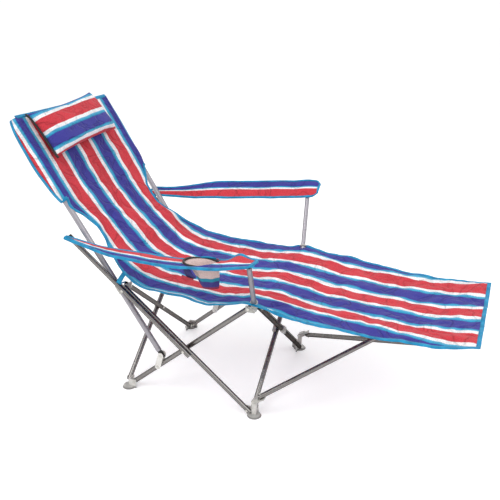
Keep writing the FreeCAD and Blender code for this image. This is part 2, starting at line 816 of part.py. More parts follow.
def cup_holder():
    """Bound rim and tapered fabric pocket."""
    centre = cup_centre()
    rim = add("Part::Torus", "cup_rim", Placement(centre, Rotation()),
              Radius1="Sizes.cup_rim_radius", Radius2="Sizes.cup_rim_wire")
    keep(rim, "cup_rim")
    mouth = centre - AXIS_Z * (size("cup_rim_wire") + size("armrest_lift"))
    bottom = mouth + Vector(size("cup_hang"), 0, -size("cup_depth"))
    wall = size("cup_wall")
    outer = loft([ring_wire(bottom, size("cup_bottom_radius")),
                  ring_wire(mouth, size("cup_rim_radius"))])
    inner = loft([ring_wire(bottom + AXIS_Z * wall, size("cup_bottom_radius") - wall),
                  ring_wire(mouth, size("cup_rim_radius") - wall)])
    keep(feature("cup_pocket", outer.cut(inner)), "cup_pocket")


def ring_wire(centre, radius):
    return Part.Wire(Part.Circle(centre, AXIS_Z, radius).toShape())


# Footrest struts, crossed, each on a knuckle of the opposite front foot.
def knuckle_pivot(side):
    return corner_point(FRONT, side, size("knuckle_height"))


def strut_axes(side):
    """Pin, direction, plane direction and plane normal of the strut from one foot."""
    slope = math.radians(size("strut_rise"))
    ahead = Vector(math.cos(slope), 0, math.sin(slope))
    normal = Vector(-math.sin(slope), 0, math.cos(slope))
    sine = (2 * half_width - size("strut_tip_inset")) / size("strut_length")
    along = ahead * math.sqrt(1 - sine ** 2) - AXIS_Y * (side * sine)
    over = 1 if side == RIGHT else -1
    pin = knuckle_pivot(side) + ahead * size("yoke_pin")
    return pin, along, ahead, normal * over


def strut_tip(side):
    pin, along, ahead, over = strut_axes(side)
    return pin + along * size("strut_length")


def strut(side):
    """Strut, its yoke and the two pins that the yoke turns on."""
    name = SIDE_NAME[side]
    pin, along, ahead, over = strut_axes(side)
    radius = size("strut_diameter") / 2
    axis_point = pin + over * (radius + size("layer_gap"))
    overhang = size("strut_overhang")
    piece = tube(f"{name}_footrest_strut", axis_point - along * overhang, along, over,
                 "strut_diameter", formula("strut_length", "strut_overhang"), [overhang])
    keep(piece, f"{name}_footrest_strut")

    pivot = knuckle_pivot(side)
    half = size("knuckle_width") / 2 + size("knuckle_clearance")
    cheeks = []
    for face in (1, -1):
        root = pivot + AXIS_Y * (face * half)
        tag = f"{name}_cheek_{'outer' if face == side else 'inner'}"
        disc = add("Part::Cylinder", f"{tag}_disc", frame(root, AXIS_Y * face),
                   Radius="Sizes.knuckle_radius", Height="Sizes.cheek_thickness")
        arm = add("Part::Box", f"{tag}_arm", Length="2 * Sizes.knuckle_radius",
                  Width="Sizes.cheek_thickness", Height="Sizes.yoke_block_end")
        aside = AXIS_Y.cross(ahead) * (size("knuckle_radius") * face)
        arm.Placement = frame(root - aside, ahead, AXIS_Y * face)
        cheeks += [disc, arm]
    width = half + size("cheek_thickness")
    up = strut_axes(RIGHT)[3]
    block = add("Part::Box", f"{name}_yoke_block", Length="2 * Sizes.knuckle_radius",
                Height=formula("yoke_block_end", "-yoke_block_start"))
    block.Width = 2 * width
    block_root = pivot + ahead * size("yoke_block_start") - AXIS_Y * width
    block.Placement = frame(block_root + up * size("knuckle_radius"), ahead, AXIS_Y)
    tongue = add("Part::Box", f"{name}_yoke_tongue", Length="Sizes.ear_thickness",
                 Height=formula("yoke_tip", "-yoke_block_start"))
    tongue.Width = 2 * width
    tongue_root = block_root if over.z > 0 else block_root + up * size("ear_thickness")
    tongue.Placement = frame(tongue_root, ahead, AXIS_Y)
    holes = [pin_hole(f"{name}_yoke_hole", pivot, AXIS_Y, 2 * width, "knuckle_pin_diameter"),
             pin_hole(f"{name}_tongue_hole", pin, over, size("strut_diameter"))]
    yoke = fuse(f"{name}_yoke_body", cheeks + [block, tongue])
    keep(cut(f"{name}_strut_yoke", yoke, holes), f"{name}_strut_yoke")

    pins = [rivet(f"{name}_knuckle_pin", pivot, AXIS_Y, width, width, "knuckle_pin_diameter"),
            rivet(f"{name}_strut_pin", axis_point, over, radius + size("layer_gap")
                  + size("ear_thickness"), radius + size("head_gap"))]
    keep(group(f"{name}_yoke_pins", pins), f"{name}_yoke_pins")


# Sling.
def sling_stations():
    """Edge point, half width, sag and facing at each break of the sling."""
    pivot, along, slider_at = post_line(LEFT)
    post_top = pivot + along * (size("post_length") + size("plug_length") - size("plug_tail"))
    rake = Vector(along.x, 0, along.z).normalize()
    facing = AXIS_Y.cross(rake)
    margin = size("sleeve_margin")
    back, crown, seat = size("back_sag"), -size("waist_crown"), size("seat_sag")
    rest, calf, toe_sag = size("footrest_sag"), size("calf_sag"), size("toe_sag")

    def dip(sag, place, half):
        """How far the sagging cloth lies below its edges, at a place across the chair."""
        return sag * (1 - (place / half) ** 2)

    def on_post(point, sag):
        clear = size("post_diameter") / 2 + size("back_stand_off")
        return point + facing * (clear + dip(sag, point.y, point.y + margin))

    head = on_post(post_top + rake * size("head_overhang"), size("head_sag"))
    sleeve = on_post(post_top - along * size("sleeve_length"), back)
    rear = corner_point(REAR, LEFT, top_height)
    front = corner_point(FRONT, LEFT, top_height)
    tip = strut_tip(RIGHT)
    tip = tip + AXIS_Z * dip(toe_sag, tip.y, size("tip_half"))
    tip = tip + strut_axes(RIGHT)[3] * total("strut_diameter", "layer_gap", "cloth_thickness")
    slope = (facing + AXIS_Z).normalize()

    def near(point, ahead, up):
        return point + Vector(size(ahead) if ahead else 0.0, 0, size(up))

    middle = Vector(-size("seat_crease"), 0, top_height + size("seat_up"))
    toe = tip + Vector(size("toe_overhang"), 0, size("toe_up"))
    return {
        "head": (head, head.y + margin, size("head_sag"), facing),
        "sleeve": (sleeve, sleeve.y + margin, back, facing),
        "waist": (near(rear, "waist_back", "waist_up"), size("waist_half"), crown, facing),
        "loin": (near(rear, "loin_back", "loin_up"), size("loin_half"), crown, facing),
        "hip": (near(rear, "hip_ahead", "hip_up"), size("hip_half"), seat, slope),
        "seat_rear": (near(rear, "seat_rear_ahead", "seat_rear_up"), size("seat_half"), seat,
                      AXIS_Z),
        "seat": (middle, size("seat_half"), seat, AXIS_Z),
        "thigh": (near(front, "thigh_behind", "thigh_up"), size("thigh_half"), seat, AXIS_Z),
        "front": (near(front, None, "front_up"), size("front_half"), rest, AXIS_Z),
        "shin": (near(front, "shin_ahead", "shin_up"), size("shin_half"), rest, AXIS_Z),
        "calf": (near(tip, "calf_behind", "calf_up"), size("calf_half"), calf, AXIS_Z),
        "ankle": (near(tip, "ankle_behind", "ankle_up"), size("ankle_half"), calf, AXIS_Z),
        "tip": (tip, size("tip_half"), toe_sag, AXIS_Z),
        "toe": (toe, size("toe_half"), toe_sag, AXIS_Z),
    }


def sling_section(station, shift):
    """Thin sagging band across the chair, moved along the sling by a small shift."""
    point, half, sag, facing = station
    run = facing.cross(AXIS_Y) * -1
    middle = Vector(point.x, 0, point.z) + run * shift
    lower = [middle + AXIS_Y * half, middle - facing * sag, middle - AXIS_Y * half]
    upper = [p + facing * size("cloth_thickness") for p in lower]
    edges = [Part.Arc(*lower).toShape(), Part.LineSegment(lower[2], upper[2]).toShape(),
             Part.Arc(*reversed(upper)).toShape(),
             Part.LineSegment(upper[0], lower[0]).toShape()]
    return Part.Wire(edges)


PANELS = {
    "back_upper_panel": ("head", "sleeve"),
    "back_lower_panel": ("sleeve", "waist", "loin", "hip"),
    "seat_rear_panel": ("hip", "seat_rear", "seat"),
    "seat_front_panel": ("seat", "thigh", "front"),
    "footrest_inner_panel": ("front", "shin"),
    "footrest_outer_panel": ("shin", "calf", "ankle", "tip", "toe"),
}


def sling():
    """The sling, cut into panels where the folding chair folds it."""
    stations = sling_stations()
    gap = size("panel_gap") / 2
    for label, breaks in PANELS.items():
        shifts = [0.0] * len(breaks)
        shifts[0] = gap
        shifts[-1] = -gap
        sections = [sling_section(stations[b], s) for b, s in zip(breaks, shifts)]
        shape = loft(sections)
        if "front" in breaks:
            for side in (LEFT, RIGHT):
                base, along = arm_post_line(side)
                shape = shape.cut(Part.makeCylinder(size("arm_hole_radius"),
                                                    size("arm_post_length"),
                                                    base - along * size("socket_height"), along))
        keep(feature(label, shape), label)


def pillow():
    """Head pillow: crowned in the middle, flat hems, waisted between its corners."""
    head, head_half, sag, facing = sling_stations()["head"]
    run = facing.cross(AXIS_Y)
    depth = size("pillow_depth")
    middle = Vector(head.x, 0, head.z) - run * (size("pillow_drop") + depth / 2)
    half = size("pillow_length") / 2
    reach = (half + abs(size("pillow_shift"))) / head_half
    dip = sag * (1 - reach ** 2)
    middle = middle + facing * (size("cloth_thickness") + size("pillow_gap") - dip)
    middle = middle + AXIS_Y * size("pillow_shift")
    tilt = math.tan(math.radians(size("pillow_tilt")))
    sections = []
    for share in (-1.0, -0.6, 0.0, 0.6, 1.0):
        swell = 1 - size("pillow_taper") * share ** 2
        reach = depth / 2 - size("pillow_waist") * swell
        thick = size("pillow_hem") + (size("pillow_crown") - size("pillow_hem")) * swell
        aside = AXIS_Y * (half * share) + run * (half * share * tilt)
        centre = middle + aside + facing * (size("pillow_hem") / 2)
        low = centre - run * reach
        high = centre + run * reach
        hem = facing * (size("pillow_hem") / 2)
        front = Part.Arc(low + hem, centre + facing * (thick - size("pillow_hem") / 2), high + hem)
        edges = [Part.LineSegment(low - hem, low + hem).toShape(), front.toShape(),
                 Part.LineSegment(high + hem, high - hem).toShape(),
                 Part.LineSegment(high - hem, low - hem).toShape()]
        sections.append(Part.Wire(edges))
    keep(feature("pillow", loft(sections)), "pillow")


def check_objects():
    """Stop unless every object and every finished shape is sound."""
    for item in doc.Objects:
        if "Invalid" in item.State or "Error" in item.State:
            raise RuntimeError(f"{item.Label} failed: {item.State}")
    for item in nodes:
        if item.Shape.isNull() or not item.Shape.isValid() or not item.Shape.Solids:
            raise RuntimeError(f"{item.Label} has no sound solid")


def write_parts():
    os.makedirs("parts", exist_ok=True)
    for item in nodes:
        item.Shape.exportStep(f"parts/{item.Label}.step")
        print(f"{item.Label}: {len(item.Shape.Solids)} solids, {item.Shape.Volume:.0f} mm3")


for chair_side in (RIGHT, LEFT):
    side_legs(chair_side)
    foot(REAR, chair_side, -1, -1 if chair_side == RIGHT else 1)
    foot(FRONT, chair_side, 1, -1 if chair_side == RIGHT else 1)
    front_hub(chair_side)
    rear_hub(chair_side)
    back_post(chair_side)
    arm_tube(chair_side)
    arm_post(chair_side)
    armrest(chair_side)
    strut(chair_side)
end_legs()
crossing_clamps()
cup_holder()
sling()
pillow()

doc.recompute()
check_objects()
write_parts()
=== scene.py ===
import json
import math

import bmesh
import bpy
import numpy as np
from mathutils import Matrix, Vector, noise


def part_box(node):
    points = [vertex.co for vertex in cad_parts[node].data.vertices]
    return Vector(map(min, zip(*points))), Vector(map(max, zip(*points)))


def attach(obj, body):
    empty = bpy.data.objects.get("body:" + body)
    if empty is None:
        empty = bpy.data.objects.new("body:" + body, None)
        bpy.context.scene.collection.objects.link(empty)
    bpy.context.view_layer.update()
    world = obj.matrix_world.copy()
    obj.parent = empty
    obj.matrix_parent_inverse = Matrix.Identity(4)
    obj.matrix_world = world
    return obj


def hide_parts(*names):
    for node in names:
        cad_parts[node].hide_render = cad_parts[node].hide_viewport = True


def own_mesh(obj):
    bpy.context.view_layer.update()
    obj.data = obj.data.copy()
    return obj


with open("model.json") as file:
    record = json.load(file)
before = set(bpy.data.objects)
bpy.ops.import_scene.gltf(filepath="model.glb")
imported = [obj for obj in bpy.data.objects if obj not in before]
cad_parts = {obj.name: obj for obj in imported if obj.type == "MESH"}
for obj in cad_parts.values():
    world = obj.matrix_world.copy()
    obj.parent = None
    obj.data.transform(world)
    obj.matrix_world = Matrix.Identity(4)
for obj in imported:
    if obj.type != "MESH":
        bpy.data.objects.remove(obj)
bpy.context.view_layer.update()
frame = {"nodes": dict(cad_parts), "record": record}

# Looks of a folding camp lounger: a striped woven sling on a coated steel frame.
# Metres, +X to the footrest, +Y to the sitter's left, +Z up, floor at Z = 0.

bl_info = {
    "name": "Folding camp lounger",
    "version": (1, 0, 0),
    "blender": (4, 5, 0),
    "location": "View3D > Sidebar > Lounger",
    "description": "Dresses a folding camp lounger with its cloth, finishes and studio",
    "category": "Object",
}

NEAR, FAR = -1, 1
SIDE_NAME = {NEAR: "right", FAR: "left"}
AXIS_Y = Vector((0, 1, 0))
AXIS_Z = Vector((0, 0, 1))

# Middle line of the sling from the head to the toe: name, x, z, half widths right and left, how far
# the middle lies below the edges, how far the right hem hangs, and the half widths right and left
# that the stripes are laid out on.
SLING = [
    ("head", -0.5638, 0.9006, 0.2470, 0.2470, 0.004, 0.000, 0.2475, 0.2475),
    ("nape", -0.4853, 0.7770, 0.2440, 0.2440, 0.008, 0.000, 0.2465, 0.2465),
    ("sleeve", -0.4069, 0.6533, 0.2410, 0.2410, 0.010, 0.000, 0.2450, 0.2440),
    ("shoulder", -0.3915, 0.6230, 0.2420, 0.2240, 0.004, 0.000, 0.2580, 0.2280),
    ("rib", -0.3710, 0.5890, 0.2090, 0.1985, -0.003, 0.000, 0.2430, 0.2070),
    ("waist", -0.3449, 0.5558, 0.1900, 0.1870, -0.006, 0.000, 0.2290, 0.1960),
    ("small", -0.3060, 0.5130, 0.1950, 0.1950, -0.006, 0.000, 0.2270, 0.2010),
    ("loin", -0.2699, 0.4808, 0.2190, 0.2190, -0.006, 0.000, 0.2360, 0.2230),
    ("flank", -0.2270, 0.4455, 0.2460, 0.2460, -0.001, 0.000, 0.2660, 0.2480),
    ("hip", -0.1799, 0.4208, 0.2660, 0.2660, 0.004, 0.000, 0.2960, 0.2670),
    ("seat_rear", -0.0999, 0.3993, 0.2720, 0.2720, 0.005, 0.000, 0.3050, 0.2730),
    ("crease", -0.0425, 0.3963, 0.2710, 0.2710, 0.005, 0.000, 0.3060, 0.2718),
    ("seat", 0.0000, 0.3943, 0.2700, 0.2700, 0.005, 0.000, 0.3060, 0.2710),
    ("thigh", 0.1049, 0.3883, 0.2800, 0.2800, 0.005, 0.000, 0.3070, 0.2800),
    ("knee", 0.1640, 0.3955, 0.2680, 0.2680, 0.008, 0.000, 0.3030, 0.2680),
    ("front", 0.2299, 0.4053, 0.2600, 0.2600, 0.014, 0.000, 0.2990, 0.2600),
    ("upper_shin", 0.3050, 0.3975, 0.2600, 0.2600, 0.015, 0.013, 0.3010, 0.2600),
    ("shin", 0.3999, 0.3823, 0.2660, 0.2660, 0.014, 0.007, 0.3020, 0.2660),
    ("lower_shin", 0.4800, 0.3765, 0.2590, 0.2590, 0.012, 0.006, 0.2940, 0.2570),
    ("calf", 0.5674, 0.3702, 0.2510, 0.2510, 0.010, 0.007, 0.2770, 0.2440),
    ("ankle", 0.7074, 0.3655, 0.2395, 0.2395, 0.010, 0.009, 0.2480, 0.2230),
    ("tip", 0.7974, 0.3685, 0.2370, 0.2370, 0.005, 0.007, 0.2270, 0.2090),
    ("toe", 0.8734, 0.3762, 0.2320, 0.2320, 0.005, 0.000, 0.2130, 0.1990),
]
# The sling's panels, the stations where each starts and ends, and the body that carries it.
PANELS = [
    ("back_upper_panel", "head", "sleeve", "right_back_post"),
    ("back_lower_panel", "sleeve", "hip", "right_back_post"),
    ("seat_rear_panel", "hip", "crease", "seat_rear_panel"),
    ("seat_front_panel", "crease", "front", "seat_front_panel"),
    ("footrest_inner_panel", "front", "shin", "footrest_inner_panel"),
    ("footrest_outer_panel", "shin", "toe", "footrest_outer_panel"),
]
# Length of the sling that the sleeves hold on the posts.
SLEEVED_RUN = 0.31
# Heights of the sling's broad waves, slanting creases, fine creases and fluttering edge.
WAVE, SLANT_CREASE, FINE_CREASE, FLUTTER = 0.0048, 0.0062, 0.0036, 0.0045
# Thickness of the edge tape, and the cloth coordinate that runs round a swept profile.
TAPE_THICKNESS, SWEPT_WIDTH = 0.0009, 0.02
# Half of the cloth's width that the stripes are laid out for.
STRIPE_REACH = 0.40
# Radius of the hole that an arm post passes through, and of the collar round it.
ARM_HOLE = 0.0095
# How much of a tube's end is averaged to find its middle line.
END_SLICE = 0.012
# Sleeve round a post: radius, looseness at mid length, and the turns in degrees that it covers.
SLEEVE_RADIUS, SLEEVE_EASE = 0.0122, 0.017
SLEEVE_TURNS = (100, -24)
# Distances of the sleeve's tail past its last turn.
SLEEVE_TAIL = [0.003, 0.006]
# Cloth coordinate where a sleeve starts, how much its stripes and its tape are widened.
SLEEVE_START, SLEEVE_STRETCH, SLEEVE_HEM = 0.2610, 1.55, 1.3
# Pillow: length, depth, height of the crown, tilt and lift off the back.
PILLOW_LENGTH, PILLOW_DEPTH, PILLOW_CROWN = 0.372, 0.164, 0.042
PILLOW_TILT, PILLOW_LIFT = math.radians(4.0), 0.010
# Cloth coordinates of the pillow's upper side, where they start and how far they run, and of its
# underside.
PILLOW_TOP, PILLOW_SPAN, PILLOW_UNDER = -0.0700, 0.218, 0.165
# The furthest that a point of the pillow's cover moves as it swells, and the height of its creases.
SWELL_LIMIT, PILLOW_CREASE = 0.006, 0.0022
# Armrest cloth from its middle to a face (it is doubled), and its mesh spacing.
ARM_CLOTH, ARM_STEP = 0.0016, 0.006
# Heights of an armrest's crown, waves and creases.
ARM_CROWN, ARM_WAVE, ARM_CREASE = 0.003, 0.0022, 0.0010
# Pucker inside the front end of the right arm: height, place along x and length.
PUCKER, PUCKER_PLACE, PUCKER_LENGTH = 0.013, 0.212, 0.026
# Middle line of each armrest from its tail: the half a station belongs to, x, y outward, z and half
# width. The right arm sags under its cup and the left one is taut.
ARM_LINE = {
    NEAR: [("rear", -0.3998, 0.2726, 0.5320, 0.011), ("rear", -0.2957, 0.2877, 0.5217, 0.022),
           ("rear", -0.2100, 0.2950, 0.5160, 0.033), ("rear", -0.1323, 0.2980, 0.5164, 0.041),
           ("both", -0.0342, 0.3120, 0.5214, 0.042), ("front", 0.0340, 0.3200, 0.5270, 0.044),
           ("front", 0.0965, 0.3195, 0.5371, 0.052), ("front", 0.1600, 0.3350, 0.5480, 0.046),
           ("front", 0.2520, 0.3512, 0.5700, 0.041), ("front", 0.2690, 0.3528, 0.5730, 0.035),
           ("front", 0.2790, 0.3535, 0.5745, 0.022)],
    FAR: [("rear", -0.3998, 0.2702, 0.5385, 0.021), ("rear", -0.3038, 0.2854, 0.5426, 0.024),
          ("rear", -0.2300, 0.3010, 0.5490, 0.034), ("rear", -0.1538, 0.3192, 0.5575, 0.041),
          ("both", -0.0638, 0.3328, 0.5636, 0.042), ("front", 0.0562, 0.3499, 0.5731, 0.042),
          ("front", 0.1400, 0.3610, 0.5800, 0.042), ("front", 0.2062, 0.3698, 0.5872, 0.041),
          ("front", 0.2330, 0.3714, 0.5888, 0.035), ("front", 0.2440, 0.3720, 0.5895, 0.021)],
}
# Shares across an armrest from its outer edge where violet, cyan, white and red meet, the cloth
# coordinates there, and how far each armrest rolls inward.
ARM_SHARES = {NEAR: [0.0, 0.34, 0.42, 0.50, 1.0], FAR: [0.0, 0.40, 0.45, 0.53, 1.0]}
ARM_WEAVE = [0.0855, 0.1085, 0.1225, 0.1375, 0.1750]
ARM_ROLL = {NEAR: math.radians(4.0), FAR: math.radians(34.0)}
# The cup's oval as a share of its length, and how far its pocket narrows and drifts to the front.
CUP_PINCH, CUP_TAPER = 0.74, 0.026
# The cup's rim: radius of its bound wire, and how far the wire's middle lies inside the rim.
CUP_WIRE, CUP_INSET = 0.0036, 0.0035
# Side of the studio floor, and how much it glows for the camera.
FLOOR_SIZE, FLOOR_GLOW = 300.0, 0.30


class ClothSettings(bpy.types.PropertyGroup):
    """Sizes of the striped cloth and its edge tape."""

    red_band: bpy.props.FloatProperty(
        name="Red band", description="Width of a red stripe", default=0.055, unit="LENGTH")
    violet_band: bpy.props.FloatProperty(
        name="Violet band", description="Width of a violet stripe", default=0.052, unit="LENGTH")
    white_band: bpy.props.FloatProperty(
        name="White band", description="Width of a white stripe", default=0.015, unit="LENGTH")
    cyan_band: bpy.props.FloatProperty(
        name="Cyan band", description="Width of a cyan stripe", default=0.014, unit="LENGTH")
    thickness: bpy.props.FloatProperty(
        name="Thickness", description="Thickness of the cloth", default=0.0014, unit="LENGTH")
    thread: bpy.props.FloatProperty(
        name="Thread", description="Spacing of the weave as drawn", default=0.0021, unit="LENGTH")
    tape: bpy.props.FloatProperty(
        name="Tape", description="How far the edge tape reaches over the cloth", default=0.0105,
        unit="LENGTH")
    step: bpy.props.FloatProperty(
        name="Step", description="Mesh spacing along the sling", default=0.0065, unit="LENGTH")
    columns: bpy.props.IntProperty(
        name="Columns", description="Mesh columns across the sling", default=84)
    folded_share: bpy.props.FloatProperty(
        name="Folded share", description="Width left to the upper back when the chair is folded",
        default=0.29, subtype="FACTOR")
    gathered_share: bpy.props.FloatProperty(
        name="Gathered share", description="Width left to the seat between the folded side legs",
        default=0.155, subtype="FACTOR")
    bundled_share: bpy.props.FloatProperty(
        name="Bundled share", description="Width left to the panels between the folded front legs",
        default=0.067, subtype="FACTOR")


class ColourSettings(bpy.types.PropertyGroup):
    """Colours as sRGB hex values."""

    red: bpy.props.StringProperty(name="Red", description="Red stripes", default="CE3B46")
    violet: bpy.props.StringProperty(name="Violet", description="Violet stripes", default="3E3C94")
    white: bpy.props.StringProperty(name="White", description="White stripes", default="F3F1F4")
    cyan: bpy.props.StringProperty(name="Cyan", description="Cyan stripes", default="148DBC")
    pale_cyan: bpy.props.StringProperty(
        name="Pale cyan", description="Side of a cyan stripe next to the white", default="5DB5D6")
    tape: bpy.props.StringProperty(name="Tape", description="Edge tape", default="0C88B6")
    steel: bpy.props.StringProperty(name="Steel", description="Coated tubes", default="83807E")


class StageSettings(bpy.types.PropertyGroup):
    """Camera and studio."""

    camera_place: bpy.props.FloatVectorProperty(
        name="Camera", description="Place of the camera", default=(0.8913, -1.9141, 1.2679),
        subtype="TRANSLATION", unit="LENGTH")
    yaw: bpy.props.FloatProperty(
        name="Yaw", description="Heading of the camera from +Y towards +X", default=-0.3813,
        unit="ROTATION")
    pitch: bpy.props.FloatProperty(
        name="Pitch", description="Downward tilt of the camera", default=0.376, unit="ROTATION")
    lens: bpy.props.FloatProperty(
        name="Lens", description="Focal length in millimetres on a 36 mm sensor", default=48.353)
    shift: bpy.props.FloatVectorProperty(
        name="Shift", description="Lens shift as a share of the frame", size=2,
        default=(-0.0014, 0.0074))
    floor: bpy.props.StringProperty(name="Floor", description="Floor colour", default="F4F4F4")


class LoungerSettings(bpy.types.PropertyGroup):
    """All settings of the lounger."""

    cloth: bpy.props.PointerProperty(type=ClothSettings)
    colours: bpy.props.PointerProperty(type=ColourSettings)
    stage: bpy.props.PointerProperty(type=StageSettings)


def settings():
    """Settings in use."""
    return bpy.context.scene.lounger


# Colours and materials.
def linear(code):
    """sRGB hex code as linear RGBA."""
    channels = [int(code[i:i + 2], 16) / 255 for i in (0, 2, 4)]
    return [c / 12.92 if c <= 0.04045 else ((c + 0.055) / 1.055) ** 2.4 for c in channels] + [1.0]


def set_inputs(tree, node, inputs, links):
    """Give some inputs of a node values and link sockets into others."""
    for key, value in inputs.items():
        node.inputs[key].default_value = value
    for key, socket in links.items():
        tree.links.new(socket, node.inputs[key])


def add_node(tree, kind, inputs=None, links=None, **values):
    """Add one node, set its properties and inputs, and link sockets into it."""
    made = tree.nodes.new(kind)
    for name, value in values.items():
        setattr(made, name, value)
    set_inputs(tree, made, inputs or {}, links or {})
    return made


def new_material(name):
    """Empty node material with its shader and output."""
    material = bpy.data.materials.get(name) or bpy.data.materials.new(name)
    material.use_nodes = True
    tree = material.node_tree
    tree.nodes.clear()
    shader = add_node(tree, "ShaderNodeBsdfPrincipled")
    add_node(tree, "ShaderNodeOutputMaterial", links={"Surface": shader.outputs[0]})
    return material, tree, shader


def set_ramp(ramp, stops):
    """Fill a colour ramp with (place, colour) stops."""
    elements = ramp.color_ramp.elements
    while len(elements) > 1:
        elements.remove(elements[-1])
    elements[0].position, elements[0].color = stops[0]
    for place, colour in stops[1:]:
        elements.new(place).color = colour


def stripe_stops():
    """Stops from the sling's middle outward, as shares of STRIPE_REACH, with the colour at each."""
    cloth, colours = settings().cloth, settings().colours
    red, violet = linear(colours.red), linear(colours.violet)
    white, cyan, pale = linear(colours.white), linear(colours.cyan), linear(colours.pale_cyan)
    white_run = [(cloth.white_band, white, white)]
    outward = white_run + [(cloth.cyan_band, pale, cyan), (cloth.violet_band, violet, violet),
                           (cloth.cyan_band, cyan, pale)] + white_run
    bands = [(cloth.red_band / 2, red, red)] + outward + [(cloth.red_band, red, red)] + outward
    bands += [(cloth.red_band, red, red)]
    blur = 0.0006
    stops, place = [], 0.0
    for width, start, end in bands:
        stops.append(((place + blur) / STRIPE_REACH, start))
        stops.append(((place + width - blur) / STRIPE_REACH, end))
        place += width
    return stops


def striped_polyester():
    """Plain-woven polyester, yarn-dyed in stripes: matt, heathered, soft at grazing light."""
    cloth = settings().cloth
    material, tree, shader = new_material("striped_polyester")
    uv = add_node(tree, "ShaderNodeUVMap", uv_map="cloth")
    place = add_node(tree, "ShaderNodeSeparateXYZ", links={0: uv.outputs[0]})
    # the yarn edges of a stripe wander by a fraction of a millimetre
    wander = add_node(tree, "ShaderNodeTexNoise", {"Scale": 160.0, "Detail": 2.0},
                      {"Vector": uv.outputs[0]})
    # loose cloth makes the stripes sway by some millimetres
    sway = add_node(tree, "ShaderNodeTexNoise", {"Scale": 17.0, "Detail": 2.0},
                    {"Vector": uv.outputs[0]})
    swing = add_node(tree, "ShaderNodeMath", {1: 0.009, 2: -0.0055}, {0: sway.outputs["Fac"]},
                     operation="MULTIPLY_ADD")
    drift = add_node(tree, "ShaderNodeMath", {1: 0.002},
                     {0: wander.outputs["Fac"], 2: swing.outputs[0]}, operation="MULTIPLY_ADD")
    across = add_node(tree, "ShaderNodeMath", {}, {0: place.outputs[0], 1: drift.outputs[0]},
                      operation="ADD")
    mirrored = add_node(tree, "ShaderNodeMath", {}, {0: across.outputs[0]}, operation="ABSOLUTE")
    share = add_node(tree, "ShaderNodeMath", {1: STRIPE_REACH}, {0: mirrored.outputs[0]},
                     operation="DIVIDE")
    stripes = add_node(tree, "ShaderNodeValToRGB", {}, {0: share.outputs[0]})
    set_ramp(stripes, stripe_stops())
    # dyed yarns differ a little, so a band is heathered; it is drawn at 3 mm so that it shows
    heather = add_node(tree, "ShaderNodeTexNoise", {"Scale": 320.0, "Detail": 3.0},
                       {"Vector": uv.outputs[0]})
    shade = add_node(tree, "ShaderNodeMapRange",
                     {"From Min": 0.3, "From Max": 0.7, "To Min": 0.74, "To Max": 1.20},
                     {"Value": heather.outputs["Fac"]})
    faded = add_node(tree, "ShaderNodeTexNoise", {"Scale": 9.0, "Detail": 2.0},
                     {"Vector": uv.outputs[0]})
    wear = add_node(tree, "ShaderNodeMapRange",
                    {"From Min": 0.3, "From Max": 0.7, "To Min": 0.95, "To Max": 1.05},
                    {"Value": faded.outputs["Fac"]})
    worn = add_node(tree, "ShaderNodeMath", {}, {0: shade.outputs[0], 1: wear.outputs[0]},
                    operation="MULTIPLY")
    # packing leaves creases some 60 mm apart; they are soft bumps, and painted shade makes the
    # cloth a little darker along them
    packed = add_node(tree, "ShaderNodeTexNoise", {"Scale": 12.0, "Detail": 2.0, "Distortion": 0.9},
                      {"Vector": uv.outputs[0]})
    level = add_node(tree, "ShaderNodeMath", {1: 0.5}, {0: packed.outputs["Fac"]},
                     operation="SUBTRACT")
    ridge = add_node(tree, "ShaderNodeMath", {}, {0: level.outputs[0]}, operation="ABSOLUTE")
    crease = add_node(tree, "ShaderNodeMapRange",
                      {"From Min": 0.0, "From Max": 0.06, "To Min": 0.86, "To Max": 1.0},
                      {"Value": ridge.outputs[0]})
    # painted shade: the heathered, worn colour is multiplied down to 0.86 along the crease lines
    yarn_tone_and_crease_shade = add_node(tree, "ShaderNodeMath", {}, {0: worn.outputs[0], 1: crease.outputs[0]},
                    operation="MULTIPLY")
    colour = add_node(tree, "ShaderNodeVectorMath", {},
                      {0: stripes.outputs[0], 1: yarn_tone_and_crease_shade.outputs[0]}, operation="MULTIPLY")
    # real threads are about 0.5 mm apart; they are drawn coarser so that they show
    waves = 2 * math.pi / cloth.thread
    threads = {}
    for way in (0, 1):
        turn = add_node(tree, "ShaderNodeMath", {1: waves}, {0: place.outputs[way]},
                        operation="MULTIPLY")
        thread = add_node(tree, "ShaderNodeMath", {}, {0: turn.outputs[0]}, operation="SINE")
        threads[way] = thread.outputs[0]
    weave = add_node(tree, "ShaderNodeMath", {}, threads, operation="MULTIPLY")
    crinkle = add_node(tree, "ShaderNodeTexNoise", {"Scale": 55.0, "Detail": 3.0},
                       {"Vector": uv.outputs[0]})
    fine = add_node(tree, "ShaderNodeBump", {"Strength": 0.25, "Distance": 0.0004},
                    {"Height": weave.outputs[0]})
    rumple = add_node(tree, "ShaderNodeBump", {"Strength": 0.45, "Distance": 0.003},
                      {"Height": crinkle.outputs["Fac"], "Normal": fine.outputs[0]})
    bump = add_node(tree, "ShaderNodeBump", {"Strength": 0.7, "Distance": 0.03},
                    {"Height": crease.outputs[0], "Normal": rumple.outputs[0]})
    set_inputs(tree, shader, {"Roughness": 0.82, "Sheen Weight": 0.07, "Sheen Roughness": 0.5,
                              "Specular IOR Level": 0.22},
               {"Base Color": colour.outputs[0], "Normal": bump.outputs[0]})
    return material


